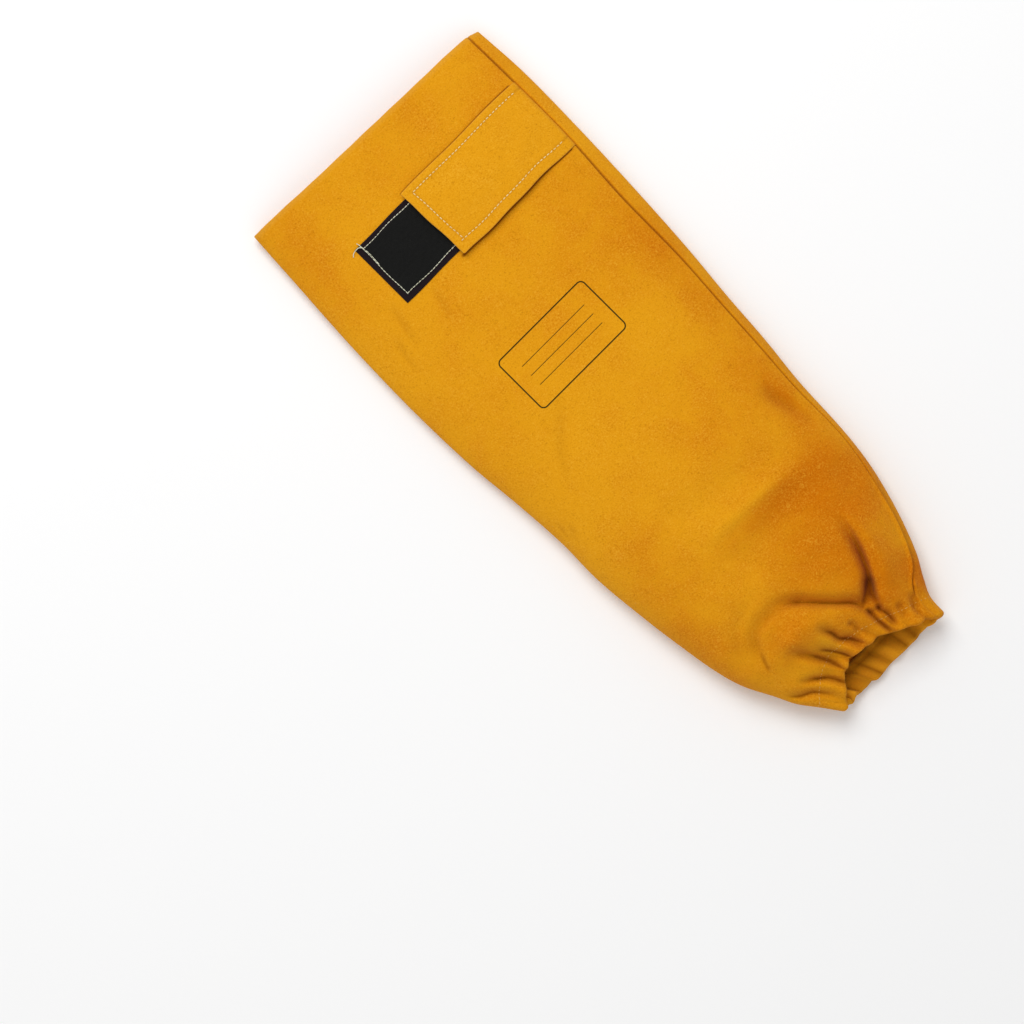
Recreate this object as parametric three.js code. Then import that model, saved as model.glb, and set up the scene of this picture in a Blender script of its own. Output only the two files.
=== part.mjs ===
// A welder's arm sleeve of split leather, lying on its back as it is laid out for use.
// One hide is folded round and closed by a long turned seam. Its wrist end is turned in over a
// band of elastic, which gathers it, and a flap from the seam closes on a patch of loop tape.
// Millimetres. +X runs across to the seam, +Y towards the arm opening and +Z up.
import * as THREE from "three";

// The sleeve
const sleeveLength = 500;
const armWidth = 214;
const cuffWidth = 94;
const armHeight = 25;
const bodyHeight = 47;
const cuffHeight = 35;
const armEdgeReach = 7.2;
const leather = 1.6;

// The long seam
const seamSetIn = 10;
const seamLip = 1.9;
const seamGroove = 1.4;
const allowanceWidth = 7;
const allowanceThick = 2.6;

// The cuff
const gatherCount = 20;
const gatherDepth = 3;
const gatherReach = 46;
const mouthSetBack = 23;
const hemDepth = 17;
const elasticWidth = 11;
const elasticThick = 1.1;
const elasticNear = leather + 2.5;
const elasticFar = elasticNear + elasticWidth;

// The closure
const flapWidth = 59;
const flapReach = 106;
const flapToArm = 45;
const flapCorner = 3;
const tapeWidth = 50;
const tapeThick = 1.7;
const loopLength = 102;
const loopShows = 50;
const hookLength = 50;
const hookToEnd = 6;

const clearance = 0.3;

// left, right: each edge's place, from 0 at half the cuff's width to 1 at half the arm's.
// arm, cuff: how much of the crown's height is the arm end's or the cuff's; the body's is the rest.
// side: the height of the edge as a share of the crown. seam: the seam's place as a share of seamSetIn.
const sections = [
  { along: 0.0, left: 0.94, right: 0.9, arm: 1.0, cuff: 0.0, side: 0.3, seam: 0.8 },
  { along: 0.085, left: 0.99, right: 0.94, arm: 0.97, cuff: 0.0, side: 0.3, seam: 0.97 },
  { along: 0.19, left: 1.04, right: 0.93, arm: 0.92, cuff: 0.0, side: 0.3, seam: 0.94 },
  { along: 0.3, left: 1.06, right: 0.895, arm: 0.84, cuff: 0.0, side: 0.29, seam: 1.05 },
  { along: 0.41, left: 1.035, right: 0.84, arm: 0.7, cuff: 0.0, side: 0.28, seam: 0.8 },
  { along: 0.49, left: 0.973, right: 0.777, arm: 0.56, cuff: 0.0, side: 0.28, seam: 0.68 },
  { along: 0.57, left: 0.93, right: 0.728, arm: 0.42, cuff: 0.0, side: 0.28, seam: 0.62 },
  { along: 0.64, left: 0.935, right: 0.665, arm: 0.26, cuff: 0.0, side: 0.28, seam: 0.49 },
  { along: 0.73, left: 0.863, right: 0.627, arm: 0.09, cuff: 0.0, side: 0.28, seam: 0.34 },
  { along: 0.785, left: 0.8, right: 0.57, arm: 0.02, cuff: 0.0, side: 0.29, seam: 0.42 },
  { along: 0.836, left: 0.728, right: 0.468, arm: 0.0, cuff: 0.02, side: 0.31, seam: 0.48 },
  { along: 0.877, left: 0.63, right: 0.358, arm: 0.0, cuff: 0.12, side: 0.35, seam: 0.48 },
  { along: 0.917, left: 0.46, right: 0.223, arm: 0.0, cuff: 0.38, side: 0.4, seam: 0.6 },
  { along: 0.944, left: 0.35, right: 0.095, arm: 0.0, cuff: 0.6, side: 0.44, seam: 0.9 },
  { along: 0.97, left: 0.19, right: -0.005, arm: 0.0, cuff: 0.85, side: 0.47, seam: 0.9 },
  { along: 1.0, left: 0.01, right: -0.02, arm: 0.0, cuff: 1.0, side: 0.48, seam: 0.75 },
];

// How far the arm opening's cut edge stands out, as a share of armEdgeReach, from the left edge
// across to the seam.
const armEdge = [
  { across: -1.0, out: 1.0 },
  { across: -0.75, out: 0.86 },
  { across: -0.45, out: 0.58 },
  { across: 0.0, out: 0.37 },
  { across: 0.6, out: 0.2 },
  { across: 0.9, out: 0.05 },
  { across: 1.0, out: -0.2 },
];

// How far the cuff's upper edge is set back, as a share of mouthSetBack, across the cuff.
const cuffEdge = [
  { across: -1.0, back: 0.0 },
  { across: -0.93, back: 0.15 },
  { across: -0.82, back: 0.45 },
  { across: -0.65, back: 0.78 },
  { across: -0.44, back: 0.98 },
  { across: -0.2, back: 1.0 },
  { across: 0.0, back: 0.93 },
  { across: 0.2, back: 0.78 },
  { across: 0.4, back: 0.6 },
  { across: 0.6, back: 0.38 },
  { across: 0.8, back: 0.18 },
  { across: 1.0, back: 0.0 },
];

// Folds of the front, each a curve through places on it. along is a share of the length, and across
// a share of half the arm's width. rise is its height, or its depth below 0, as a share of the
// body's height. near and far are its half widths, as shares of the arm's width: near lies on its
// left where it runs towards the arm, and far on its right.
const folds = [
  {
    name: "bulge crease",
    along: [0.838, 0.869, 0.887, 0.903, 0.921],
    across: [-0.25, -0.094, -0.013, 0.06, 0.105],
    rise: -0.25,
    near: 0.03,
    far: 0.075,
  },
  {
    name: "bulge rim",
    along: [0.897, 0.869, 0.843, 0.831, 0.831, 0.845],
    across: [-0.62, -0.59, -0.543, -0.458, -0.339, -0.195],
    rise: -0.11,
    near: 0.03,
    far: 0.055,
  },
  { name: "bulge", along: [0.88, 0.868, 0.895], across: [-0.5, -0.3, -0.1], rise: 0.11, near: 0.07, far: 0.06 },
  {
    name: "tongue side",
    along: [0.808, 0.848, 0.869, 0.892, 0.915, 0.935],
    across: [0.385, 0.338, 0.301, 0.254, 0.193, 0.165],
    rise: -0.24,
    near: 0.065,
    far: 0.03,
  },
  {
    name: "tongue",
    along: [0.8, 0.848, 0.892, 0.93],
    across: [0.42, 0.405, 0.335, 0.25],
    rise: 0.09,
    near: 0.035,
    far: 0.055,
  },
  { name: "joining tuck", along: [0.892, 0.905, 0.922], across: [0.28, 0.19, 0.09], rise: -0.08, near: 0.03, far: 0.03 },
  { name: "left tuck", along: [0.89, 0.923, 0.955], across: [-0.45, -0.327, -0.26], rise: -0.09, near: 0.028, far: 0.03 },
  { name: "middle tuck", along: [0.9, 0.92, 0.955], across: [-0.35, -0.242, -0.185], rise: -0.06, near: 0.026, far: 0.026 },
  { name: "right tuck", along: [0.895, 0.926, 0.955], across: [-0.2, -0.144, -0.055], rise: -0.07, near: 0.026, far: 0.026 },
  { name: "edge tuck", along: [0.915, 0.946, 0.98], across: [-0.69, -0.578, -0.48], rise: -0.05, near: 0.028, far: 0.03 },
  { name: "cross ridge", along: [0.712, 0.695, 0.69], across: [-0.5, 0.05, 0.6], rise: 0.06, near: 0.06, far: 0.05 },
  { name: "cross dip", along: [0.75, 0.732, 0.722], across: [-0.5, 0.05, 0.6], rise: -0.06, near: 0.06, far: 0.06 },
  { name: "seam dent", along: [0.6, 0.64, 0.68], across: [0.66, 0.7, 0.66], rise: -0.09, near: 0.04, far: 0.04 },
  { name: "elbow dent", along: [0.43, 0.47, 0.515], across: [-0.35, -0.5, -0.66], rise: -0.035, near: 0.04, far: 0.04 },
];

// How each outline of the section rounds: a high power gives a flat stretch with tight ends.
const domePower = { body: 2.6, cuff: 2.1 };
const domeRoot = { body: 1.7, cuff: 2.0 };
const footPower = { body: 9, cuff: 2.8 };

// The mesh: how many points go round the sleeve, and its rows' places along it.
const pointsRound = 80;
const turnWeight = 20;
const outlineSteps = 720;
const coarseRows = [0, 0.06, 0.14, 0.22, 0.31, 0.4, 0.48, 0.56, 0.63];
const fineRows = [0.68, 0.71, 0.74, 0.775, 0.805, 0.83, 0.852, 0.872, 0.89, 0.908, 0.925, 0.943];

const clamp01 = (value) => Math.min(1, Math.max(0, value));
const smooth = (low, high, value) => {
  const share = clamp01((value - low) / (high - low));
  return share * share * (3 - 2 * share);
};
const mix = (from, to, share) => from + (to - from) * share;

// Reads one column of a table at any place between its rows, on a smooth curve through them.
function readTable(rows, place, column, at) {
  const value = clampTo(rows[0][place], rows[rows.length - 1][place], at);
  let index = 0;
  while (index < rows.length - 2 && value > rows[index + 1][place]) index += 1;
  const [low, high] = [rows[index], rows[index + 1]];
  const before = rows[Math.max(0, index - 1)];
  const after = rows[Math.min(rows.length - 1, index + 2)];
  const span = high[place] - low[place];
  const slopeLow = ((high[column] - before[column]) / (high[place] - before[place])) * span;
  const slopeHigh = ((after[column] - low[column]) / (after[place] - low[place])) * span;
  const t = (value - low[place]) / span;
  const [t2, t3] = [t * t, t * t * t];
  return (
    (2 * t3 - 3 * t2 + 1) * low[column] +
    (t3 - 2 * t2 + t) * slopeLow +
    (3 * t2 - 2 * t3) * high[column] +
    (t3 - t2) * slopeHigh
  );
}

function clampTo(low, high, value) {
  return Math.min(high, Math.max(low, value));
}

// The named sizes of the section at a share along the sleeve.
function sectionAt(along) {
  const column = (name) => readTable(sections, "along", name, along);
  const [armHalf, cuffHalf] = [armWidth / 2, cuffWidth / 2];
  const cuff = clamp01(column("cuff"));
  const arm = clamp01(column("arm"));
  const left = -mix(cuffHalf, armHalf, column("left"));
  const right = mix(cuffHalf, armHalf, column("right"));
  const crown = armHeight * arm + cuffHeight * cuff + bodyHeight * (1 - arm - cuff);
  return {
    along,
    cuff,
    crown,
    centre: (left + right) / 2,
    half: (right - left) / 2,
    side: crown * column("side"),
    seamX: right - seamSetIn * column("seam"),
    domePower: mix(domePower.body, domePower.cuff, cuff),
    domeRoot: mix(domeRoot.body, domeRoot.cuff, cuff),
    footPower: mix(footPower.body, footPower.cuff, cuff),
  };
}

// The height of the section's smooth outline at a share across it, on its front or its back.
function outlineHeight(section, across, onFront) {
  const reach = Math.min(1, Math.abs(across));
  if (onFront) {
    const dome = (1 - reach ** section.domePower) ** (1 / section.domeRoot);
    return section.side + (section.crown - section.side) * dome;
  }
  return section.side * (1 - Math.sqrt(1 - reach ** section.footPower));
}

// Where a point of the section lies along Y: the arm edge's slope and the cuff's set-back upper edge
// both fade away from their own end.
function alongY(section, across, frontness) {
  const armOut = (1 - smooth(0, 0.08, section.along)) * readTable(armEdge, "across", "out", across);
  const cuffBack = smooth(0.86, 1, section.along) * readTable(cuffEdge, "across", "back", across);
  return sleeveLength * (0.5 - section.along) + armEdgeReach * armOut + mouthSetBack * cuffBack * frontness;
}

// A closed outline of the section, in steps of length plus turning, from the seam over the front,
// round the left edge and back under the sleeve. Each point has its place and the front's share.
const outlines = new Map();
function outlineAt(along) {
  if (outlines.has(along)) return outlines.get(along);
  const section = sectionAt(along);
  const seamAcross = (section.seamX - section.centre) / section.half;
  const start = Math.acos(clampTo(-1, 1, seamAcross));
  const fine = [];
  for (let step = 0; step <= outlineSteps; step += 1) {
    const angle = start + (step / outlineSteps) * 2 * Math.PI;
    const across = Math.cos(angle);
    const onFront = Math.sin(angle) >= 0;
    const x = section.centre + section.half * across;
    const z = outlineHeight(section, across, onFront);
    const front = onFront ? smooth(0, 0.5, (z - section.side) / (section.crown - section.side)) : 0;
    fine.push({ x, y: alongY(section, across, front), z, front });
  }
  const travelled = [0];
  for (let step = 1; step <= outlineSteps; step += 1) {
    const [a, b] = [fine[step - 1], fine[step]];
    const c = fine[step === outlineSteps ? 1 : step + 1];
    const heading = Math.atan2(b.z - a.z, b.x - a.x);
    const next = Math.atan2(c.z - b.z, c.x - b.x);
    const turn = Math.abs(Math.atan2(Math.sin(next - heading), Math.cos(next - heading)));
    travelled.push(travelled[step - 1] + Math.hypot(b.x - a.x, b.z - a.z) + turnWeight * turn);
  }
  const outline = { section, fine, travelled, total: travelled[outlineSteps] };
  outlines.set(along, outline);
  return outline;
}

// The point at a share of the way round an outline.
function pointRound(outline, share) {
  const target = (share - Math.floor(share)) * outline.total;
  let low = 0;
  let high = outlineSteps;
  while (high - low > 1) {
    const middle = (low + high) >> 1;
    if (outline.travelled[middle] <= target) low = middle;
    else high = middle;
  }
  const span = outline.travelled[high] - outline.travelled[low];
  const t = (target - outline.travelled[low]) / span;
  const [a, b] = [outline.fine[low], outline.fine[high]];
  return {
    place: new THREE.Vector3(mix(a.x, b.x, t), mix(a.y, b.y, t), mix(a.z, b.z, t)),
    front: mix(a.front, b.front, t),
  };
}

// The direction out of the smooth sleeve at a point, from its neighbours round and along it.
function outward(along, share) {
  const [roundStep, alongStep] = [0.004, 0.004];
  const [before, after] = [Math.max(0, along - alongStep), Math.min(1, along + alongStep)];
  const here = outlineAt(along);
  const round = pointRound(here, share + roundStep).place.sub(pointRound(here, share - roundStep).place);
  const down = pointRound(outlineAt(after), share).place.sub(pointRound(outlineAt(before), share).place);
  return round.cross(down).normalize();
}

// The gathers: how far the leather dips between two crests, which lie on the smooth outline.
function gatherDip(along, share) {
  const fromMouth = (1 - along) * sleeveLength;
  const reach = gatherReach * (0.75 + 0.25 * Math.sin(share * gatherCount * 1.7));
  const strength = 1 - smooth(hemDepth * 0.6, reach, fromMouth);
  const wave = 0.5 - 0.5 * Math.cos(share * gatherCount * 2 * Math.PI);
  return gatherDepth * strength * wave;
}

// The seam's groove, a V whose lips are seamLip to each side of it.
function grooveDip(share, total) {
  const distance = Math.min(share, 1 - share) * total;
  return seamGroove * Math.max(0, 1 - distance / seamLip);
}

// The height that the folds add to the front at a place seen from above.
function foldRise(x, y) {
  const place = new THREE.Vector2(x, sleeveLength / 2 - y);
  return folds.reduce((rise, fold) => rise + oneFold(fold, place), 0) * bodyHeight;
}

// One fold at a place: it is deepest on its curve and fades away to both sides and to its start.
const foldSteps = 24;
const foldCurves = folds.map(({ along, across }) => {
  const places = along.map((share, index) => new THREE.Vector3(across[index] * (armWidth / 2), share * sleeveLength, 0));
  return new THREE.CatmullRomCurve3(places).getPoints(foldSteps).map(({ x, y }) => new THREE.Vector2(x, y));
});

function oneFold(fold, place) {
  const curve = foldCurves[folds.indexOf(fold)];
  let [least, leastShare, side] = [Infinity, 0, 1];
  for (let step = 0; step < foldSteps; step += 1) {
    const run = curve[step + 1].clone().sub(curve[step]);
    const off = place.clone().sub(curve[step]);
    const t = clamp01(off.dot(run) / run.lengthSq());
    off.addScaledVector(run, -t);
    if (off.length() >= least) continue;
    least = off.length();
    leastShare = (step + t) / foldSteps;
    side = run.cross(off);
  }
  const halfWidth = (side > 0 ? fold.near : fold.far) * armWidth;
  const ends = smooth(0, 0.3, leastShare) * (1 - 0.5 * smooth(0.8, 1, leastShare));
  return fold.rise * ends * Math.exp(-((least / halfWidth) ** 2));
}

// A point of the leather: inset is how deep it lies below the outer face.
function leatherPoint(along, share, inset) {
  const outline = outlineAt(along);
  const { place, front } = pointRound(outline, share);
  const dip = gatherDip(along, share) + grooveDip(share, outline.total);
  const lift = front > 0 ? front * foldRise(place.x, place.y) : 0;
  return place.addScaledVector(outward(along, share), -dip - inset).add(new THREE.Vector3(0, 0, lift));
}

// The shares round the sleeve at which a row has its points: the seam, its two lips, and even steps.
function rowShares(along) {
  const lip = seamLip / outlineAt(along).total;
  const shares = [0, lip];
  for (let point = 1; point < pointsRound; point += 1) shares.push(mix(lip, 1 - lip, point / pointsRound));
  shares.push(1 - lip);
  return shares;
}

// One ring of points. A coarse ring leaves out every second even step.
function ring(along, inset, coarse) {
  const shares = rowShares(along).filter((_, index) => !coarse || index < 2 || index % 2 === 1);
  return { along, points: shares.map((share) => leatherPoint(along, share, inset)) };
}

// Joins closed rings into one surface that closes on itself.
function surfaceOf(rings) {
  const points = rings.flatMap((one) => one.points);
  const starts = rings.map((_, index) => rings.slice(0, index).reduce((sum, one) => sum + one.points.length, 0));
  const faces = [];
  rings.forEach((one, index) => {
    const other = (index + 1) % rings.length;
    joinRings(faces, one, starts[index], rings[other], starts[other]);
  });
  return meshOf(points, faces);
}

// Walks round both rings at once and always advances the one that is behind. On a tie it is the one
// nearer the arm that goes first, so that the outer and the inner face are cut along the same lines.
function joinRings(faces, ringA, startA, ringB, startB) {
  const [countA, countB] = [ringA.points.length, ringB.points.length];
  const tie = ringA.along <= ringB.along ? 1e-6 : -1e-6;
  const travelled = (step, count) => (step < 1 ? 0 : step >= count ? 2 : (step - 1) / (count - 2));
  let [a, b] = [0, 0];
  while (a < countA || b < countB) {
    const [thisA, thisB] = [startA + (a % countA), startB + (b % countB)];
    const advanceA = travelled(a + 1, countA) <= travelled(b + 1, countB) + tie;
    if (b >= countB || (a < countA && advanceA)) {
      a += 1;
      faces.push(thisA, startA + (a % countA), thisB);
    } else {
      b += 1;
      faces.push(thisA, startB + (b % countB), thisB);
    }
  }
}

function meshOf(points, faces) {
  const geometry = new THREE.BufferGeometry();
  geometry.setAttribute("position", new THREE.Float32BufferAttribute(points.flatMap((p) => p.toArray()), 3));
  geometry.setIndex(faces);
  geometry.computeVertexNormals();
  return geometry;
}

// The hide: its outer face from the arm opening to the cuff, the round turn at the mouth, the hem
// back inside it, round the hem's cut edge and the casing, and the inner face back to the arm end.
function sleeveBody() {
  const casing = elasticThick + 2 * clearance;
  const turn = (2 * leather + casing) / 2;
  const rings = [];
  const add = (fromMouth, inset) => rings.push(ring(1 - fromMouth / sleeveLength, inset, false));
  const addRows = (rows, inset, coarse) => rows.forEach((along) => rings.push(ring(along, inset, coarse)));
  const [fineUp, coarseUp] = [[...fineRows].reverse(), [...coarseRows].reverse()];
  addRows(coarseRows, 0, true);
  addRows(fineRows, 0, false);
  [elasticFar, elasticNear].forEach((fromMouth) => add(fromMouth, 0));
  add(turn, 0);
  add(0.3 * turn, 0.3 * turn);
  add(0, turn);
  add(0.3 * turn, 1.7 * turn);
  [turn, elasticNear, elasticFar, hemDepth].forEach((fromMouth) => add(fromMouth, 2 * turn));
  [hemDepth, elasticFar, elasticNear].forEach((fromMouth) => add(fromMouth, leather + casing));
  [elasticNear - 1, elasticNear - 1].forEach((fromMouth, index) => add(fromMouth, leather + casing * (1 - index)));
  [elasticNear, elasticFar].forEach((fromMouth) => add(fromMouth, leather));
  addRows(fineUp, leather, false);
  addRows(coarseUp, leather, true);
  return surfaceOf(rings);
}

// The elastic: a flat band in the middle of the hem's casing.
function cuffElastic() {
  const [outer, inner] = [leather + clearance, leather + clearance + elasticThick];
  const corners = [
    [elasticFar, outer],
    [elasticNear, outer],
    [elasticNear, inner],
    [elasticFar, inner],
  ];
  return surfaceOf(corners.map(([fromMouth, inset]) => ring(1 - fromMouth / sleeveLength, inset, false)));
}

// The seam's two cut edges, which lie inside against the front.
function seamAllowance() {
  const rows = [...coarseRows, ...fineRows].filter((along) => along > 0 && along < 0.93);
  const top = leather + clearance + seamGroove;
  const corners = [
    { across: 0, inset: top },
    { across: 1, inset: top },
    { across: 1, inset: top + allowanceThick },
    { across: 0, inset: top + allowanceThick },
  ];
  const points = [];
  rows.forEach((along) => {
    const total = outlineAt(along).total;
    corners.forEach(({ across, inset }) => {
      points.push(leatherPoint(along, (seamLip + across * allowanceWidth) / total, inset));
    });
  });
  return prismOf(points, rows.length, corners.length);
}

// A closed body through rows of the same section, with its two ends capped by fans.
function prismOf(points, rows, corners) {
  const faces = [];
  for (let row = 0; row < rows - 1; row += 1) {
    for (let corner = 0; corner < corners; corner += 1) {
      const next = (corner + 1) % corners;
      const [a, b] = [row * corners + corner, row * corners + next];
      faces.push(a, b, a + corners, b, b + corners, a + corners);
    }
  }
  const last = (rows - 1) * corners;
  for (let corner = 1; corner < corners - 1; corner += 1) {
    faces.push(0, corner + 1, corner);
    faces.push(last, last + corner, last + corner + 1);
  }
  return meshOf(points, faces);
}

// The height of the front's outer face at a place seen from above, away from the two ends.
function frontHeight(x, y) {
  const section = sectionAt(0.5 - y / sleeveLength);
  const across = (x - section.centre) / section.half;
  const groove = seamGroove * Math.max(0, 1 - Math.abs(x - section.seamX) / seamLip);
  return outlineHeight(section, across, true) - groove;
}

// The closure's places: Y of its middle line, and X of the flap's end and of the seam there.
const closureY = sleeveLength / 2 - flapToArm - flapWidth / 2;
const seamXAt = (y) => sectionAt(0.5 - y / sleeveLength).seamX;
const flapEndX = seamXAt(closureY) - flapReach;
const loopStartX = flapEndX - loopShows;
const loopEndX = loopStartX + loopLength;

// How far the flap's underside stands off the leather: over both tapes, then down to its root.
function flapStandOff(x) {
  const overBoth = 3 * clearance + 2 * tapeThick;
  const [hookEndX, rootX] = [flapEndX + hookToEnd + hookLength, flapEndX + flapReach];
  return mix(overBoth, 2 * clearance, smooth(hookEndX + 1, rootX - 4, x));
}

// A strip that follows the front: low and high give the X of its ends at a Y, stand its underside's
// height above the leather, corner the radius of its two corners at the low end, and last the width
// of its last column.
function strip({ low, high, width, thick, stand, columns, rows, corner = 0, last = 0 }) {
  const points = [];
  const places = rowPlaces(width, rows, corner);
  for (let level = 0; level < 2; level += 1) {
    for (const place of places) {
      const y = closureY + place - width / 2;
      const inCorner = Math.max(0, corner - Math.min(place, width - place));
      const roundOff = corner - Math.sqrt(corner ** 2 - inCorner ** 2);
      for (let column = 0; column <= columns; column += 1) {
        const even = mix(low(y) + roundOff, high(y) - last, column / (columns - (last > 0 ? 1 : 0)));
        const x = Math.min(even, high(y));
        points.push(new THREE.Vector3(x, y, frontHeight(x, y) + stand(x) + level * thick));
      }
    }
  }
  return meshOf(points, slabFaces(columns, places.length - 1));
}

// The places of a strip's rows across its width: even ones, and two more in each round corner.
function rowPlaces(width, rows, corner) {
  const even = Array.from({ length: rows + 1 }, (_, row) => mix(corner, width - corner, row / rows));
  if (corner === 0) return even;
  const start = [0, 0.1 * corner, 0.4 * corner];
  return [...start, ...even, ...start.map((place) => width - place).reverse()];
}

// The faces of a slab whose lower and upper sheets are grids of the same size.
function slabFaces(columns, rows) {
  const wide = columns + 1;
  const sheet = wide * (rows + 1);
  const faces = [];
  for (let row = 0; row < rows; row += 1) {
    for (let column = 0; column < columns; column += 1) {
      const a = row * wide + column;
      const [b, c, d] = [a + 1, a + wide + 1, a + wide];
      faces.push(a, d, c, a, c, b);
      faces.push(sheet + a, sheet + b, sheet + c, sheet + a, sheet + c, sheet + d);
    }
  }
  const rim = [];
  for (let column = 0; column < columns; column += 1) rim.push(column);
  for (let row = 0; row < rows; row += 1) rim.push(row * wide + columns);
  for (let column = columns; column > 0; column -= 1) rim.push(rows * wide + column);
  for (let row = rows; row > 0; row -= 1) rim.push(row * wide);
  rim.forEach((a, index) => {
    const b = rim[(index + 1) % rim.length];
    faces.push(a, b, sheet + b, a, sheet + b, sheet + a);
  });
  return faces;
}

const closureFlap = () =>
  strip({
    low: () => flapEndX,
    high: (y) => seamXAt(y) - clearance,
    width: flapWidth,
    thick: leather,
    stand: flapStandOff,
    columns: 18,
    rows: 4,
    corner: flapCorner,
    last: seamLip,
  });

const hookTape = () =>
  strip({
    low: () => flapEndX + hookToEnd,
    high: () => flapEndX + hookToEnd + hookLength,
    width: tapeWidth,
    thick: tapeThick,
    stand: () => 2 * clearance + tapeThick,
    columns: 9,
    rows: 3,
  });

const loopTape = () =>
  strip({
    low: () => loopStartX,
    high: () => loopEndX,
    width: tapeWidth,
    thick: tapeThick,
    stand: () => clearance,
    columns: 16,
    rows: 3,
  });

const suede = new THREE.MeshStandardMaterial({ color: 0xdb9a17, roughness: 0.93, metalness: 0 });
const cutEdge = new THREE.MeshStandardMaterial({ color: 0xc98a22, roughness: 0.95, metalness: 0 });
const blackTape = new THREE.MeshStandardMaterial({ color: 0x171718, roughness: 0.9, metalness: 0 });
const elastic = new THREE.MeshStandardMaterial({ color: 0xe9e5da, roughness: 0.85, metalness: 0 });

const sleeve = new THREE.Group();
const pieces = [
  ["sleeve_body", sleeveBody(), suede],
  ["seam_allowance", seamAllowance(), cutEdge],
  ["cuff_elastic", cuffElastic(), elastic],
  ["loop_tape", loopTape(), blackTape],
  ["hook_tape", hookTape(), blackTape],
  ["closure_flap", closureFlap(), suede],
];
for (const [name, geometry, material] of pieces) {
  const piece = new THREE.Mesh(geometry, material);
  piece.name = name;
  sleeve.add(piece);
}

// The origin is under the middle of the sleeve, on the surface that it lies on.
const box = new THREE.Box3().setFromObject(sleeve);
const middle = box.getCenter(new THREE.Vector3());
sleeve.position.set(-middle.x, -middle.y, -box.min.z);

export default sleeve;
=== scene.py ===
import math
import bpy
import numpy as np
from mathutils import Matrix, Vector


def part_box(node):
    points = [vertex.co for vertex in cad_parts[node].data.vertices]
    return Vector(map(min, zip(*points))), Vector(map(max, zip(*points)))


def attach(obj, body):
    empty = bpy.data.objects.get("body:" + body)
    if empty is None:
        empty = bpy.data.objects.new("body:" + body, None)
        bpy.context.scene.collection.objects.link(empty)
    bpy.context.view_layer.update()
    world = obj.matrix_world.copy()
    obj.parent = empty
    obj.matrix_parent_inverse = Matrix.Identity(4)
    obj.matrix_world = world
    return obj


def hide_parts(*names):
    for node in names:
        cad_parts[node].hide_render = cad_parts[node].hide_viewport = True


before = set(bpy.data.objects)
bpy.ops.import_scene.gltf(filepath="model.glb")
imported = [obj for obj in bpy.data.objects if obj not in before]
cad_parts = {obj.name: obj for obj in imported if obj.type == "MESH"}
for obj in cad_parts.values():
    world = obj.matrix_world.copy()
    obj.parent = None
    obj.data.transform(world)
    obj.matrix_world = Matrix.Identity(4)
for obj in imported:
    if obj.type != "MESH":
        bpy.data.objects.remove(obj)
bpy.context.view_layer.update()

# Looks of a welder's arm sleeve in split leather, lying on its back with the seam to the right.
# Shapes are worked out in millimetres: x across to the seam, y from the cuff (-) to the arm opening
# (+), z up. "down" is the distance from the arm opening, so y = half the length - down.


# small helpers
def ease(low, high, value):
    # 0 below low, 1 above high, and an S-curve between
    t = np.clip((value - low) / (high - low), 0, 1)
    return t * t * (3 - 2 * t)


def blendTo(start, end, share):
    return start + (end - start) * share


def bell(away, width):
    # 1 where away is 0, falling off to both sides: exp(-(away / width)^2)
    return np.exp(-((away / width) ** 2))


def readCurve(places, values, at):
    # a smooth curve through a table: cubic, with each slope from the two neighbours
    places, values = np.asarray(places, float), np.asarray(values, float)
    at = np.clip(at, places[0], places[-1])
    i = np.clip(np.searchsorted(places, at, side="left") - 1, 0, len(places) - 2)
    before, after = np.maximum(i - 1, 0), np.minimum(i + 2, len(places) - 1)
    span = places[i + 1] - places[i]
    slopeA = (values[i + 1] - values[before]) / (places[i + 1] - places[before]) * span
    slopeB = (values[after] - values[i]) / (places[after] - places[i]) * span
    t = (at - places[i]) / span
    return (
        (2 * t**3 - 3 * t**2 + 1) * values[i] + (t**3 - 2 * t**2 + t) * slopeA
        + (3 * t**2 - 2 * t**3) * values[i + 1] + (t**3 - t**2) * slopeB
    )


def unit(vectors):
    return vectors / np.linalg.norm(vectors, axis=-1, keepdims=True)


def marksAlong(places):
    # how far along a line of places each of them lies
    return np.concatenate([[0], np.cumsum(np.linalg.norm(np.diff(places, axis=0), axis=1))])


def readColumns(at, marks, values):
    # each column of values read at places between its marks
    return np.stack([np.interp(at, marks, column.ravel()) for column in np.moveaxis(values, -1, 0)], axis=1)


def softWaves(x, y, size, seed, count=14):
    # gentle unevenness between about -1 and 1: a sum of sines in many directions, size mm long
    rng = np.random.default_rng(seed)
    total = np.zeros(np.broadcast(x, y).shape)
    for heading, stretch, phase in rng.uniform((0, 0.6, 0), (math.pi, 1.7, 2 * math.pi), (count, 3)):
        run = (np.cos(heading) * x + np.sin(heading) * y) * 2 * math.pi / (size * stretch)
        total += np.sin(run + phase)
    return total / math.sqrt(count)


def gridQuads(rows, columns, closeRows=False, closeColumns=False):
    # the four-cornered faces of a grid, joined end to end where asked
    r = np.arange(rows if closeRows else rows - 1)[:, None]
    c = np.arange(columns if closeColumns else columns - 1)[None, :]
    below, beside = (r + 1) % rows, (c + 1) % columns
    corners = [r * columns + c, r * columns + beside, below * columns + beside, below * columns + c]
    return np.stack([corner.ravel() for corner in corners], axis=1)


def edgePlaces(length, count, rim):
    # places along a length, close together at both ends so that an edge can be rounded
    rim = np.array(rim)
    inner = np.linspace(rim[-1], length - rim[-1], count)
    return np.concatenate([rim[:-1], inner, length - rim[:-1][::-1]])


def addObject(name, data):
    made = bpy.data.objects.new(name, data)
    bpy.context.scene.collection.objects.link(made)
    return made


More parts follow.
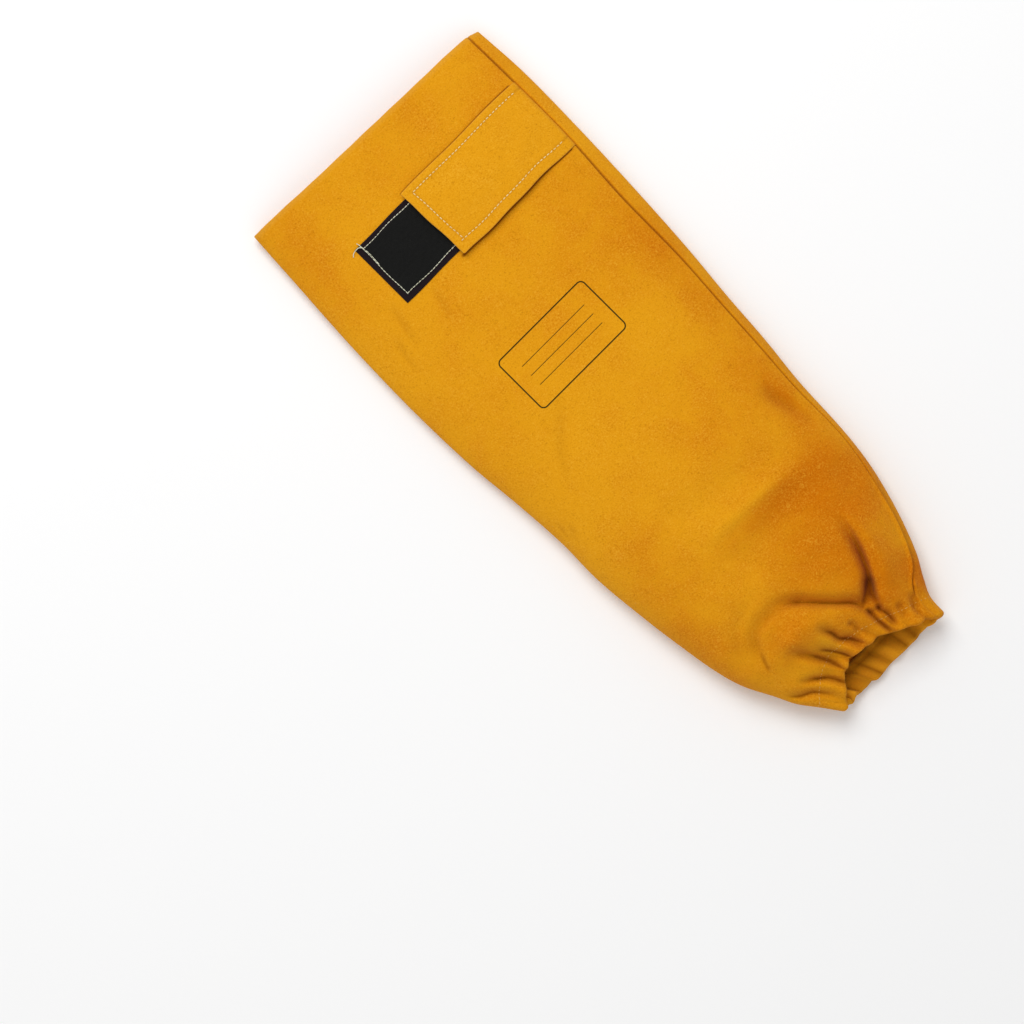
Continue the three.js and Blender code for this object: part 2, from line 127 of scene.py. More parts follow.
def addPiece(name, points, faces, material):
    # points in mm on the sleeve's own axes; faces as a list of index rows
    mesh = bpy.data.meshes.new(name)
    points = (np.asarray(points, float).reshape(-1, 3) + sleeveShift) * 0.001
    mesh.from_pydata(points.tolist(), [], [list(face) for face in faces])
    mesh.update()
    mesh.polygons.foreach_set("use_smooth", np.ones(len(mesh.polygons), bool))
    mesh.materials.append(material)
    piece = addObject(name, mesh)
    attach(piece, "root")
    print(name + ":", len(faces), "faces")
    return piece


def addAttributes(piece, **columns):
    # numbers at the piece's corners, which its material reads
    for name, values in columns.items():
        attribute = piece.data.attributes.new(name, "FLOAT", "POINT")
        attribute.data.foreach_set("value", np.asarray(values, np.float32).ravel())


# materials
class Value:
    # wraps one socket; an expression on values adds its Math nodes
    def __init__(self, shader, socket):
        self.shader, self.socket = shader, socket

    def math(self, operation, *others):
        inputs = {i + 1: other for i, other in enumerate(others)}
        return self.shader.add("ShaderNodeMath", {"operation": operation}, {0: self, **inputs})

    def __add__(self, other): return self.math("ADD", other)
    def __radd__(self, other): return self.math("ADD", other)
    def __sub__(self, other): return self.math("SUBTRACT", other)
    def __rsub__(self, other): return self.math("MULTIPLY_ADD", -1.0, other)
    def __mul__(self, other): return self.math("MULTIPLY", other)
    def __rmul__(self, other): return self.math("MULTIPLY", other)
    def __truediv__(self, other): return self.math("DIVIDE", other)
    def __abs__(self): return self.math("ABSOLUTE")

    def between(self, low, high):
        # 0 at low, 1 at high, smooth between them
        ranges = {1: low, 2: high, 3: 0.0, 4: 1.0}
        settings = {"interpolation_type": "SMOOTHSTEP"}
        return self.shader.add("ShaderNodeMapRange", settings, {0: self, **ranges})


class Finish:
    # one material with a Principled shader
    def __init__(self, name, **constants):
        self.material = bpy.data.materials.new(name)
        self.material.use_nodes = True
        self.tree = self.material.node_tree
        self.tree.nodes.clear()
        self.surface = self.tree.nodes.new("ShaderNodeBsdfPrincipled")
        output = self.tree.nodes.new("ShaderNodeOutputMaterial")
        self.tree.links.new(self.surface.outputs[0], output.inputs["Surface"])
        self.set(**constants)
        self.here = self.add("ShaderNodeTexCoord", {}, {}, "Object")

    def add(self, kind, settings, inputs, output=0):
        node = self.tree.nodes.new(kind)
        for key, value in settings.items():
            setattr(node, key, value)
        for key, value in inputs.items():
            self.put(node.inputs[key], value)
        return Value(self, node.outputs[output])

    def put(self, socket, value):
        if isinstance(value, Value):
            self.tree.links.new(value.socket, socket)
        else:
            socket.default_value = value

    def split(self):
        node = self.add("ShaderNodeSeparateXYZ", {}, {0: self.here})
        return [Value(self, output) for output in node.socket.node.outputs]

    def noise(self, scale, detail=3.0, roughness=0.55, distortion=0.0):
        names = ("Vector", "Scale", "Detail", "Roughness", "Distortion")
        inputs = dict(zip(names, (self.here, scale, detail, roughness, distortion)))
        return self.add("ShaderNodeTexNoise", {}, inputs, "Fac")

    def read(self, attribute):
        settings = {"attribute_name": attribute, "attribute_type": "GEOMETRY"}
        return self.add("ShaderNodeAttribute", settings, {}, "Fac")

    def mixColour(self, share, first, second):
        return self.add("ShaderNodeMix", {"data_type": "RGBA"}, {0: share, 6: first, 7: second}, 2)

    def bump(self, height, strength, distance, under=None):
        inputs = {"Height": height, "Strength": strength, "Distance": distance}
        if under is not None:
            inputs["Normal"] = under
        return self.add("ShaderNodeBump", {}, inputs)

    def set(self, **inputs):
        for socket, value in inputs.items():
            self.put(self.surface.inputs[socket.replace("_", " ")], value)
        return self.material


def paint(red, green, blue):
    # a colour as seen on a screen, 0 to 255, made linear
    screen = np.array([red, green, blue]) / 255
    linear = np.where(screen <= 0.04045, screen / 12.92, ((screen + 0.055) / 1.055) ** 2.4)
    return (*linear.tolist(), 1.0)


suedeSettings = {
    # the darkest colour here is both the dull patches' own tone and the colour of painted shade
    "gold": (226, 155, 18), "deep": (203, 111, 0), "pale": (248, 190, 56), "shadeAndDarkTone": (122, 57, 0),
    "cutEdge": (216, 158, 60), "inside": (246, 156, 34), "ink": (44, 42, 14),
    "napHeight": 0.0005, "patchHeight": 0.0012,
    # each noise: scale, detail, roughness, distortion
    "cloud": (11.0, 2.0, 0.5, 0.0), "patch": (46.0, 4.0, 0.6, 0.4), "grain": (240.0, 5.0, 0.65, 0.0),
    "mottle": (900.0, 1.0, 0.5, 0.0), "fibre": (1200.0, 4.0, 0.7, 0.0),
}
inkSettings = {  # the plain printed frame on the front, mm
    "centre": (-8.9, 58.9), "halfSize": (39.6, 22.0), "corner": 3.6, "line": 0.5,
    "ruledAt": (8.5, 0.0, -8.5), "ruledHalf": 29.0, "ruledLine": 0.24,
    "fromHeight": (0.012, 0.014),  # m; below it lies the back, which has no print
}


def frameMask(x, y):
    # 1 on the printed lines: a rounded box and plain ruled lines inside it
    ink = inkSettings
    a, b = abs(x - ink["centre"][0]), abs(y - ink["centre"][1])
    outX, outY = a - (ink["halfSize"][0] - ink["corner"]), b - (ink["halfSize"][1] - ink["corner"])
    farX, farY = outX.math("MAXIMUM", 0.0), outY.math("MAXIMUM", 0.0)
    far = (farX * farX + farY * farY).math("SQRT")
    fromLine = abs(far + outX.math("MAXIMUM", outY).math("MINIMUM", 0.0) - ink["corner"])
    mask = 1 - fromLine.between(ink["line"] - 0.25, ink["line"] + 0.2)
    for offset in ink["ruledAt"]:
        line = abs(y - (ink["centre"][1] + offset))
        ruled = 1 - line.between(ink["ruledLine"] - 0.15, ink["ruledLine"] + 0.15)
        ruled = ruled * (1 - a.between(ink["ruledHalf"], ink["ruledHalf"] + 0.6))
        mask = mask.math("MAXIMUM", ruled)
    return mask


def flapShades(x, y):
    # the narrow shade beside each of the flap's two long edges, whose curves are those of flapEdgeY
    run = (x - closure["flapEnd"][0]) / closure["flapReach"]
    under = run.between(-0.01, 0.02) * (1 - run.between(0.97, 0.99))
    for armSide in (True, False):
        beside = (y - flapEdgeY(x, armSide)) * (1 if armSide else -1)
        yield (1 - beside.between(0.1, 1.6)) * beside.between(-1.5, -0.5) * under


def suedeFinish(name, printed):
    s = suedeSettings
    finish = Finish(name, Roughness=0.95, Specular_IOR_Level=0.05, Sheen_Weight=0.03, Sheen_Roughness=0.6)
    names = ("cloud", "patch", "grain", "mottle", "fibre")
    cloud, patch, grain, mottle, fibre = [finish.noise(*s[one]) for one in names]
    valley, tint = finish.read("valley"), finish.read("tint")
    edge, outside = finish.read("edge"), finish.read("outside")
    # deeper warm colour: the leather's own tone together with the painted shade and painted highlight of the
    # patches
    warmthAndShade = tint * 0.85 + (cloud - 0.5) * 0.9 + (patch - 0.5) * 0.9 + (grain - 0.5) * 0.45
    bright = (patch - 0.5) * 0.9 + (fibre - 0.5) * 1.7 + (mottle - 0.5) * 1.7 + (grain - 0.5) * 0.9
    dull = (0.5 - fibre) * 1.7 + (0.5 - mottle) * 1.8 + (0.5 - grain) * 1.0
    colour = paint(*s["gold"])
    for share, tone in (
        (warmthAndShade.between(-0.25, 1.0), "deep"), (bright.between(-0.1, 1.0) * 0.5, "pale"),
        # the inner faces: the flesh side's own paler tone, pushed paler as painted light that offsets the
        # shade inside the mouth
        (dull.between(0.0, 1.1) * 0.5, "shadeAndDarkTone"), ((1 - outside) * 0.7, "inside"),
        # painted shade in the folds, the seam, the gathers and the mouth
        (valley * 0.8, "shadeAndDarkTone"), (edge * 0.7, "cutEdge"),
    ):
        colour = finish.mixColour(share, colour, paint(*s[tone]))
    if printed:
        x, y, z = finish.split()
        x, y = x * 1000 - float(sleeveShift[0]), y * 1000 - float(sleeveShift[1])
        worn = (grain - 0.5) * 1.4 + (fibre - 0.5) * 1.6 + 1.1
        mask = frameMask(x, y) * outside * z.between(*inkSettings["fromHeight"]) * worn.between(0.2, 0.8)
        colour = finish.mixColour(mask, colour, paint(*s["ink"]))
        for near in flapShades(x, y):
            colour = finish.mixColour(near * outside * 0.9, colour, paint(*s["shadeAndDarkTone"]))
    nap = fibre * 0.4 + mottle * 0.35 + grain * 0.25
    normal = finish.bump(nap, 0.7, s["napHeight"])
    normal = finish.bump(patch, 0.35, s["patchHeight"], normal)
    return finish.set(Base_Color=colour, Normal=normal)


def threadFinish(name, light, dark):
    finish = Finish(name, Roughness=0.7, Specular_IOR_Level=0.3, Sheen_Weight=0.2)
    twist = finish.noise(1600.0, 2.0)
    dirt = finish.noise(90.0, 3.0)
    shade = (twist - 0.5) * 0.9 + (dirt - 0.5) * 1.1 + 0.4
    colour = finish.mixColour(shade.between(0.1, 0.9), paint(*light), paint(*dark))
    return finish.set(Base_Color=colour, Normal=finish.bump(twist, 0.5, 0.0002))


tapeSettings = {  # colours, the ribs' pitch in m and the bump's height in m with pile and without
    "selvedge": (31, 20, 25), "pile": (20, 20, 19), "hairs": (58, 57, 55), "rib": 0.0007,
    "relief": (0.0006, 0.0003),
}


def tapeFinish(name, fluffy):
    t = tapeSettings
    finish = Finish(name, Roughness=0.85, Specular_IOR_Level=0.12, Sheen_Weight=0.04, Sheen_Roughness=0.5)
    fluff = finish.noise(700.0, 5.0, 0.75, 0.8)
    curl = finish.noise(1900.0, 3.0, 0.7)
    wash = finish.noise(60.0, 2.0)
    pile = finish.read("pile")
    colour = finish.mixColour(pile, paint(*t["selvedge"]), paint(*t["pile"]))
    hairs = (curl - 0.5) * 1.3 + (fluff - 0.5) * 1.0 + (wash - 0.5) * 0.5
    colour = finish.mixColour(hairs.between(0.1, 0.8) * 0.4, colour, paint(*t["hairs"]))
    weave = (finish.split()[1] * 2 * math.pi / t["rib"]).math("SINE") * 0.5 + 0.5
    height = fluff * pile + curl * pile * 0.6 + weave * (1 - pile) * 0.5
    relief = t["relief"][0 if fluffy else 1]
    return finish.set(Base_Color=colour, Normal=finish.bump(height, 0.8, relief))


bandSettings = {"light": (233, 229, 218), "dark": (196, 190, 176), "rib": 0.0012}  # rib in m


def bandFinish(name):
    b = bandSettings
    finish = Finish(name, Roughness=0.8, Sheen_Weight=0.2)
    rib = (finish.split()[1] * 2 * math.pi / b["rib"]).math("SINE") * 0.5 + 0.5
    lint = finish.noise(500.0, 3.0)
    colour = finish.mixColour(rib * 0.35 + lint * 0.2, paint(*b["light"]), paint(*b["dark"]))
    return finish.set(Base_Color=colour, Normal=finish.bump(rib, 0.5, 0.0003))


# the sleeve's own form, in mm
sleeve = {
    "length": 500.0, "armWidth": 214.0, "cuffWidth": 94.0,
    "armHeight": 25.0, "bodyHeight": 47.0, "cuffHeight": 35.0,
    "armEdgeReach": 7.2, "leather": 1.6, "seamSetIn": 10.0,
    "mouthSetBack": 23.0, "hemDepth": 17.0,
    "elasticNear": 4.1, "elasticFar": 15.1, "elasticThick": 1.1, "gap": 0.3,
    "casingRows": (7.5, 11), "hemStitch": 16.1, "pastStitch": 18.5, "hemEdge": 21.0,
    "pressedTo": (4.1, 3.5),  # how deep the hem's inner layer lies at its stitches and just past them
    "domeBody": (2.6, 1.7), "domeCuff": (2.1, 2.0), "footBody": 9.0, "footCuff": 2.8,
    "turnWeight": 20.0,
    "probe": 0.003,  # share of the length or of the way round over which directions are read
}
halfLength = sleeve["length"] / 2
# along the sleeve: left and right edge, share of the arm's and the cuff's height, side, seam
sectionRows = np.array([
    (0.0, 0.94, 0.9, 1.0, 0.0, 0.3, 0.8), (0.085, 0.99, 0.94, 0.97, 0.0, 0.3, 0.97),
    (0.19, 1.04, 0.93, 0.92, 0.0, 0.3, 0.94), (0.3, 1.06, 0.895, 0.84, 0.0, 0.29, 1.05),
    (0.41, 1.035, 0.84, 0.7, 0.0, 0.28, 0.8), (0.49, 0.973, 0.777, 0.56, 0.0, 0.28, 0.68),
    (0.57, 0.93, 0.728, 0.42, 0.0, 0.28, 0.62), (0.64, 0.935, 0.665, 0.26, 0.0, 0.28, 0.49),
    (0.73, 0.863, 0.627, 0.09, 0.0, 0.28, 0.34), (0.785, 0.8, 0.57, 0.02, 0.0, 0.29, 0.42),
    (0.836, 0.728, 0.468, 0.0, 0.02, 0.31, 0.48), (0.877, 0.63, 0.358, 0.0, 0.12, 0.35, 0.48),
    (0.917, 0.46, 0.223, 0.0, 0.38, 0.4, 0.6), (0.944, 0.35, 0.095, 0.0, 0.6, 0.44, 0.9),
    (0.97, 0.19, -0.005, 0.0, 0.85, 0.47, 0.9), (1.0, 0.01, -0.02, 0.0, 1.0, 0.48, 0.75),
]).T
armEdgeCurve = np.array([
    (-1, 1), (-0.75, 0.86), (-0.45, 0.58), (0, 0.37), (0.6, 0.2), (0.9, 0.05), (1, -0.2),
]).T
cuffEdgeCurve = np.array([
    (-1, 0), (-0.93, 0.15), (-0.82, 0.45), (-0.65, 0.78), (-0.44, 0.98), (-0.2, 1),
    (0, 0.93), (0.2, 0.78), (0.4, 0.6), (0.6, 0.38), (0.8, 0.18), (1, 0),
]).T


def sectionAt(along):
    # the named sizes of the cross-section at shares along the sleeve
    s = sleeve
    left, right, arm, cuff, side, seam = [readCurve(sectionRows[0], row, along) for row in sectionRows[1:]]
    arm, cuff = np.clip(arm, 0, 1), np.clip(cuff, 0, 1)
    left = -blendTo(s["cuffWidth"], s["armWidth"], left) / 2
    right = blendTo(s["cuffWidth"], s["armWidth"], right) / 2
    crown = s["armHeight"] * arm + s["cuffHeight"] * cuff + s["bodyHeight"] * (1 - arm - cuff)
    return {
        "crown": crown, "side": crown * side, "seamX": right - s["seamSetIn"] * seam,
        "centre": (left + right) / 2, "half": (right - left) / 2,
        "domePower": blendTo(s["domeBody"][0], s["domeCuff"][0], cuff),
        "domeRoot": blendTo(s["domeBody"][1], s["domeCuff"][1], cuff),
        "footPower": blendTo(s["footBody"], s["footCuff"], cuff),
    }


def outlineHeight(section, across, onFront):
    # over the front a dome from the side's height to the crown, under the back a flat foot
    reach = np.minimum(1, np.abs(across))
    dome = (1 - reach ** section["domePower"]) ** (1 / section["domeRoot"])
    foot = 1 - np.sqrt(1 - reach ** section["footPower"])
    top = section["side"] + (section["crown"] - section["side"]) * dome
    return np.where(onFront, top, section["side"] * foot)


def smoothSleeve(along, shares, steps=900):
    # the sleeve without folds: each row's outline is walked in steps of length plus turning, from
    # the seam over the front, and read at the wanted shares of the way round
    s, along = sleeve, np.asarray(along, float)[:, None]
    section = sectionAt(along)
    start = np.arccos(np.clip((section["seamX"] - section["centre"]) / section["half"], -1, 1))
    angle = start + np.linspace(0, 2 * math.pi, steps + 1)[None, :]
    across, onFront = np.cos(angle), np.sin(angle) >= 0
    x = section["centre"] + section["half"] * across
    z = outlineHeight(section, across, onFront)
    rise = (z - section["side"]) / (section["crown"] - section["side"])
    front = np.where(onFront, ease(0, 0.5, rise), 0)
    armOut = (1 - ease(0, 0.08, along)) * readCurve(*armEdgeCurve, across)
    cuffBack = ease(0.86, 1, along) * readCurve(*cuffEdgeCurve, across)
    y = s["length"] * (0.5 - along) + s["armEdgeReach"] * armOut + s["mouthSetBack"] * cuffBack * front
    dx, dz = np.diff(x, axis=1), np.diff(z, axis=1)
    heading = np.arctan2(dz, dx)
    turn = np.roll(heading, -1, axis=1) - heading
    turn = np.abs(np.arctan2(np.sin(turn), np.cos(turn)))
    travelled = np.cumsum(np.hypot(dx, dz) + s["turnWeight"] * turn, axis=1)
    travelled = np.hstack([np.zeros_like(along), travelled])
    total = travelled[:, -1:]
    rowMark = 2.0 * np.arange(len(along))[:, None]  # keeps one long rising list for all rows
    known = (travelled / total + rowMark).ravel()
    wanted = np.asarray(shares, float)[None, :] + rowMark
    read = lambda values: np.interp(wanted.ravel(), known, values.ravel()).reshape(wanted.shape)
    return np.stack([read(x), read(y), read(z)], axis=2), read(front), total


def towardsCuff(along, shares):
    # how the smooth sleeve's places move from just before a row to just after it
    step = sleeve["probe"]
    before = smoothSleeve(np.maximum(0, along - step), shares)[0]
    return smoothSleeve(np.minimum(1, along + step), shares)[0] - before


# Folds of the front. Each is a line of (down, across) places in mm; rise is its height or its depth;
# left and right are its half widths to the left (cuff-left) and right side of the line as it runs
# down; fadeIn and fadeOut are the shares of its length over which it starts and ends; the last
# number is how much painted shade darkens its bottom, where shade falls in the fold.
foldRows = [
    # the big fold left of the tongue, its rims and its bulge
    ([(409, -40), (416, -28), (424.5, -18), (432.5, -11), (441.5, -2.5), (449.3, 5.5), (455.7, 9),
     (463, 10.5)], -6.6, 2.9, 5.0, 0.4, 0.2, 0.08),
    ([(414, -32), (423, -20.5), (432.5, -11), (441.5, -2.5), (449.3, 5.5), (456.3, 9.3)],
     -2.2, 1.0, 1.4, 0.3, 0.1, 0.6),
    ([(441.5, -66), (428.3, -62), (419, -55.6), (416.2, -47.4), (416.3, -34.3), (422.5, -20.6)],
     -3.4, 3.6, 6.5, 0.3, 0.3, 0.22),
    ([(428.3, -75.5), (412.3, -67), (402.7, -54.5), (400, -39.7)], -1.2, 4, 7, 0.3, 0.3, 0.12),
    ([(428, -59.8), (435.5, -63.2), (443, -65.3)], -1.2, 1.6, 1.8, 0.5, 0.15, 0.55),
    ([(444, -54), (437, -34), (449, -12)], 5.5, 14, 10, 0.3, 0.3, 0),
    # the tongue: its steep side, valley and crest, and the tuck that joins it to the fold
    ([(396, 42.5), (404, 40.6), (413.5, 38.2), (422, 36.3), (432.5, 32.6), (444.3, 27), (455.6, 20.4),
     (464.4, 17)], -8.0, 4.8, 1.7, 0.45, 0.15, 0.3),
    ([(412, 39), (424, 35.8), (435, 31.2), (445.7, 26.2), (455.6, 20.2), (464.4, 17)],
     -2.3, 1.8, 1.0, 0.4, 0.1, 0.5),
    ([(438, 28), (447, 22), (457, 14.5)], -0.8, 3.4, 3.4, 0.3, 0.3, 0.4),
    ([(398, 47), (422, 46), (445, 39), (463, 29)], 4.2, 6, 9, 0.3, 0.3, 0),
    ([(444.3, 27.4), (450.9, 18.4), (456.3, 9)], -5.5, 4.6, 4.6, 0.3, 0.2, 0.35),
    ([(445.7, 26), (450.9, 18), (456.3, 9.3)], -1.5, 1.3, 1.3, 0.2, 0.2, 0.55),
    ([(400, 46.8), (409.5, 49), (422.8, 49.5), (438, 47)], -1.2, 4, 5, 0.3, 0.4, 0),
    # tucks into the hem, most with a finer line at the bottom
    ([(439, -50), (446.5, -44), (453, -39.5), (459.7, -35.7), (468.4, -31.5), (479.2, -28.6)],
     -5.8, 3.8, 3.8, 0.35, 0.2, 0.35),
    ([(452, -40), (459.7, -35.5), (468.4, -31.5), (479.5, -28.6)], -1.8, 1.2, 1.2, 0.35, 0.2, 0.8),
    ([(451, -36), (456, -31.5), (463, -26.6), (470, -22.5), (479, -19.3)], -4.6, 3.2, 3.2, 0.35, 0.2, 0.3),
    ([(454.3, -32.9), (463, -26.4), (470, -22.3), (477.8, -19.6)], -1.5, 1.1, 1.1, 0.3, 0.2, 0.8),
    ([(441, -25), (446, -22), (453.6, -18.6), (460.3, -16.7), (466, -11.5), (477.8, -7)],
     -5.4, 3.4, 3.4, 0.3, 0.2, 0.35),
    ([(447, -21.6), (453.4, -18.2), (460.3, -16.7), (466, -11.5), (472.4, -8.3)],
     -1.7, 1.2, 1.2, 0.3, 0.25, 0.8),
    ([(455, -6.4), (461, -3.8), (467.7, -5.8)], -2.8, 2.2, 2.2, 0.3, 0.3, 0.4),
    ([(461, -59.5), (464.8, -53), (468.5, -47), (475, -40.3), (485.6, -34.2), (490, -32.6)],
     -4.6, 3.0, 2.6, 0.3, 0.2, 0.3),
    ([(465, -51.5), (469, -46.5), (475, -40.2), (486.6, -33.8)], -1.6, 1.1, 1.1, 0.3, 0.2, 0.8),
    ([(459.5, -72), (469, -63.4), (474, -54.5), (483.4, -47.2), (494, -43)], -3.8, 3.6, 3.6, 0.3, 0.3, 0.3),
    ([(462, -70.5), (469.4, -63.2), (474, -54.5), (482, -47.8)], -1.2, 1.1, 1.1, 0.3, 0.3, 0.6),
    ([(456.3, 9.6), (463, 9.9), (471, 10), (480.5, 11.2), (487, 12)], -4.8, 2.5, 2.5, 0.25, 0.2, 0.35),
    ([(457.6, 9.6), (463, 9.9), (471, 10), (481, 11.2)], -1.7, 1.05, 1.05, 0.2, 0.2, 0.85),
    ([(460.3, 16.6), (466, 16.4), (472, 17.6), (481.8, 17.2)], -4.4, 2.4, 2.4, 0.25, 0.2, 0.3),
    ([(461.7, 16.6), (466, 16.4), (472, 17.6), (479.8, 17.3)], -1.6, 1.05, 1.05, 0.2, 0.2, 0.8),
    ([(468, 13.4), (474, 14.6), (480, 15)], -1.6, 1.3, 1.3, 0.3, 0.3, 0.5),
    ([(469, 27.4), (475.7, 26.2), (484, 25)], -3.2, 2.8, 2.8, 0.4, 0.3, 0.22),
    ([(470.4, 39.6), (476.7, 37.6), (486.7, 34.2)], -3.0, 2.6, 2.6, 0.4, 0.3, 0.3),
    # a step at the hem, and broad dents and ridges higher up
    ([(466, 42.5), (471, 44.4), (482, 46)], 1.2, 1.4, 2.2, 0.3, 0.3, 0),
    ([(300.6, 64.3), (318.7, 68.3), (340.9, 73.7)], -4.2, 6.5, 5, 0.35, 0.35, 0.15),
    ([(322, -56), (328, -34), (334, -4), (340, 24), (345, 44)], -2.2, 8, 12, 0.3, 0.35, 0),
    ([(352, -44), (352.5, -28), (353.5, 0), (356, 24), (361, 44)], 2.3, 4.5, 6.5, 0.35, 0.35, 0),
    ([(376, -50), (374, -20), (372, 18), (373, 56)], -2.6, 15, 10, 0.3, 0.3, 0.05),
    ([(372.4, 60), (388.6, 64), (406, 60)], -1.8, 10, 9, 0.4, 0.4, 0),
    # nicks at the left edge and slack creases
    ([(274.2, -99.5), (278.9, -95.1), (285.6, -89.4)], -0.9, 1.5, 1.5, 0.25, 0.35, 0.25),
    ([(277.5, -100.1), (284.9, -96.1), (290.3, -92.7)], -0.6, 1.5, 1.5, 0.3, 0.3, 0.2),
    ([(89.2, -70.6), (102.6, -73.9), (121.3, -78.0)], -1.0, 2.6, 3.6, 0.3, 0.3, 0.14),
    ([(101.5, -42.5), (111.5, -45.2), (128.2, -49.3)], -1.0, 2.4, 3.4, 0.3, 0.3, 0.14),
    ([(108, -84.0), (120, -88.0), (134.6, -90.0)], -0.9, 2.6, 2.6, 0.3, 0.3, 0.12),
    ([(214, -31.5), (226, -45), (243.5, -62), (263.4, -72.8)], -1.3, 3.2, 4.8, 0.3, 0.4, 0.12),
]


def throughPlaces(places, steps=28):
    # a smooth line through the places of a fold or a thread
    places = np.asarray(places, float)
    marks = marksAlong(places)
    at = np.linspace(0, marks[-1], steps)
    return np.stack([readCurve(marks, column, at) for column in places.T], axis=1)


def foldLift(x, y):
    # what all the folds add to the front's height at places seen from above, and the shade painted into
    # them: each is deepest on its line and falls away to both sides as a bell, rise * bell(distance, width)
    down = halfLength - y
    lift, shade = np.zeros(np.shape(x)), np.zeros(np.shape(x))
    for places, rise, left, right, fadeIn, fadeOut, dark in foldRows:
        line = throughPlaces(places)
        reach = 2.6 * max(left, right)
        near = (down > line[:, 0].min() - reach) & (down < line[:, 0].max() + reach)
        near &= (x > line[:, 1].min() - reach) & (x < line[:, 1].max() + reach)
        if not near.any():
            continue
        px, py = x[near], down[near]
        least, share, side = np.full(px.shape, 1e9), np.zeros(px.shape), np.ones(px.shape)
        for step in range(len(line) - 1):
            (y0, x0), (runY, runX) = line[step], line[step + 1] - line[step]
            t = np.clip(((px - x0) * runX + (py - y0) * runY) / (runX**2 + runY**2), 0, 1)
            offX, offY = px - x0 - t * runX, py - y0 - t * runY
            distance = np.hypot(offX, offY)
            closer = distance < least
            least = np.where(closer, distance, least)
            share = np.where(closer, (step + t) / (len(line) - 1), share)
            side = np.where(closer, runX * offY - runY * offX, side)
        width = np.where(side > 0, left, right)
        fade = ease(0, fadeIn, share) * (1 - 0.6 * ease(1 - fadeOut, 1, share))
        lift[near] += rise * fade * bell(least, width)
        shade[near] += dark * fade * bell(least, 0.75 * width)
    return lift, np.clip(shade, 0, 1)


def hideUneven(x, y):
    # the slack of soft leather: broad low waves, finer ones towards the cuff
    lower = ease(-60, -170, y)
    return 0.35 * softWaves(x, y, 95, 3) + 0.1 * softWaves(x, y, 34, 5) + lower * 0.3 * softWaves(x, y, 22, 8)


gatherSettings = {
    "count": 20, "puffs": 20, "depth": 3.2, "reach": 46.0, "frontShare": 0.12, "hemShare": 0.75,
    "scallop": 1.0, "puff": 3.2,
}
seamSettings = {  # the seam's groove, the soft ridge beside it and the overhang near the cuff, mm
    "depth": 1.7, "width": 0.95, "fadesAt": (474, 482),
    "weltAt": 3.2, "weltWidth": 2.2, "weltHeight": 0.35,
    "overhangFrom": (392, 425), "overhangTo": (462, 472),
    "stripDepth": 1.5, "stripWidth": 9, "lipAt": 1.6, "lipWidth": 3, "lipHeight": 1.1,
}


def gatherWave(shares):
    # 0 on a crest and 1 in a valley, the valleys narrow and uneven
    turns = shares * gatherSettings["count"] + 0.22 * np.sin(shares * 31) + 0.12 * np.sin(shares * 73 + 1)
    return (1 - np.abs(np.cos(np.pi * turns))) ** 0.85 * (0.85 + 0.3 * np.sin(shares * 53 + 1.3))


def gatherDip(along, shares, front):
    # how far the gathered leather dips between two crests, with narrower valleys than crests
    g = gatherSettings
    fromMouth = (1 - along[:, None]) * sleeve["length"]
    reach = g["reach"] * (0.75 + 0.25 * np.sin(shares * g["count"] * 1.7))[None, :]
    strength = 1 - ease(sleeve["hemDepth"] * 0.6, reach, fromMouth)
    onFront = blendTo(g["hemShare"], g["frontShare"], ease(12, 24, fromMouth))
    keep = 1 - (1 - onFront) * front
    return g["depth"] * strength * gatherWave(shares)[None, :] * keep


def hemPuffs(shares):
    # uneven round puffs of the hem's inner layer: 1 on a puff and 0 in the narrow valley between two
    turns = shares * gatherSettings["puffs"] + 0.3 * np.sin(shares * 27 + 1.1) + 0.18 * np.sin(shares * 61)
    return np.abs(np.sin(math.pi * turns)) ** 0.8 * (0.8 + 0.2 * np.sin(shares * 47 + 2))


def hideColumns(count):
    # shares of the way round: crowded at the seam, closer over the front than under the back
    fine = np.linspace(0, 1, 8001)
    fromSeam = np.minimum(fine, 1 - fine)
    crowding = 0.62 + 0.5 * (1 - ease(0.47, 0.53, fine)) + 6 * bell(fromSeam, 0.006)
    marks = np.concatenate([[0], np.cumsum((crowding[1:] + crowding[:-1]) / 2)])
    return np.interp(np.arange(count) / count, marks / marks[-1], fine)


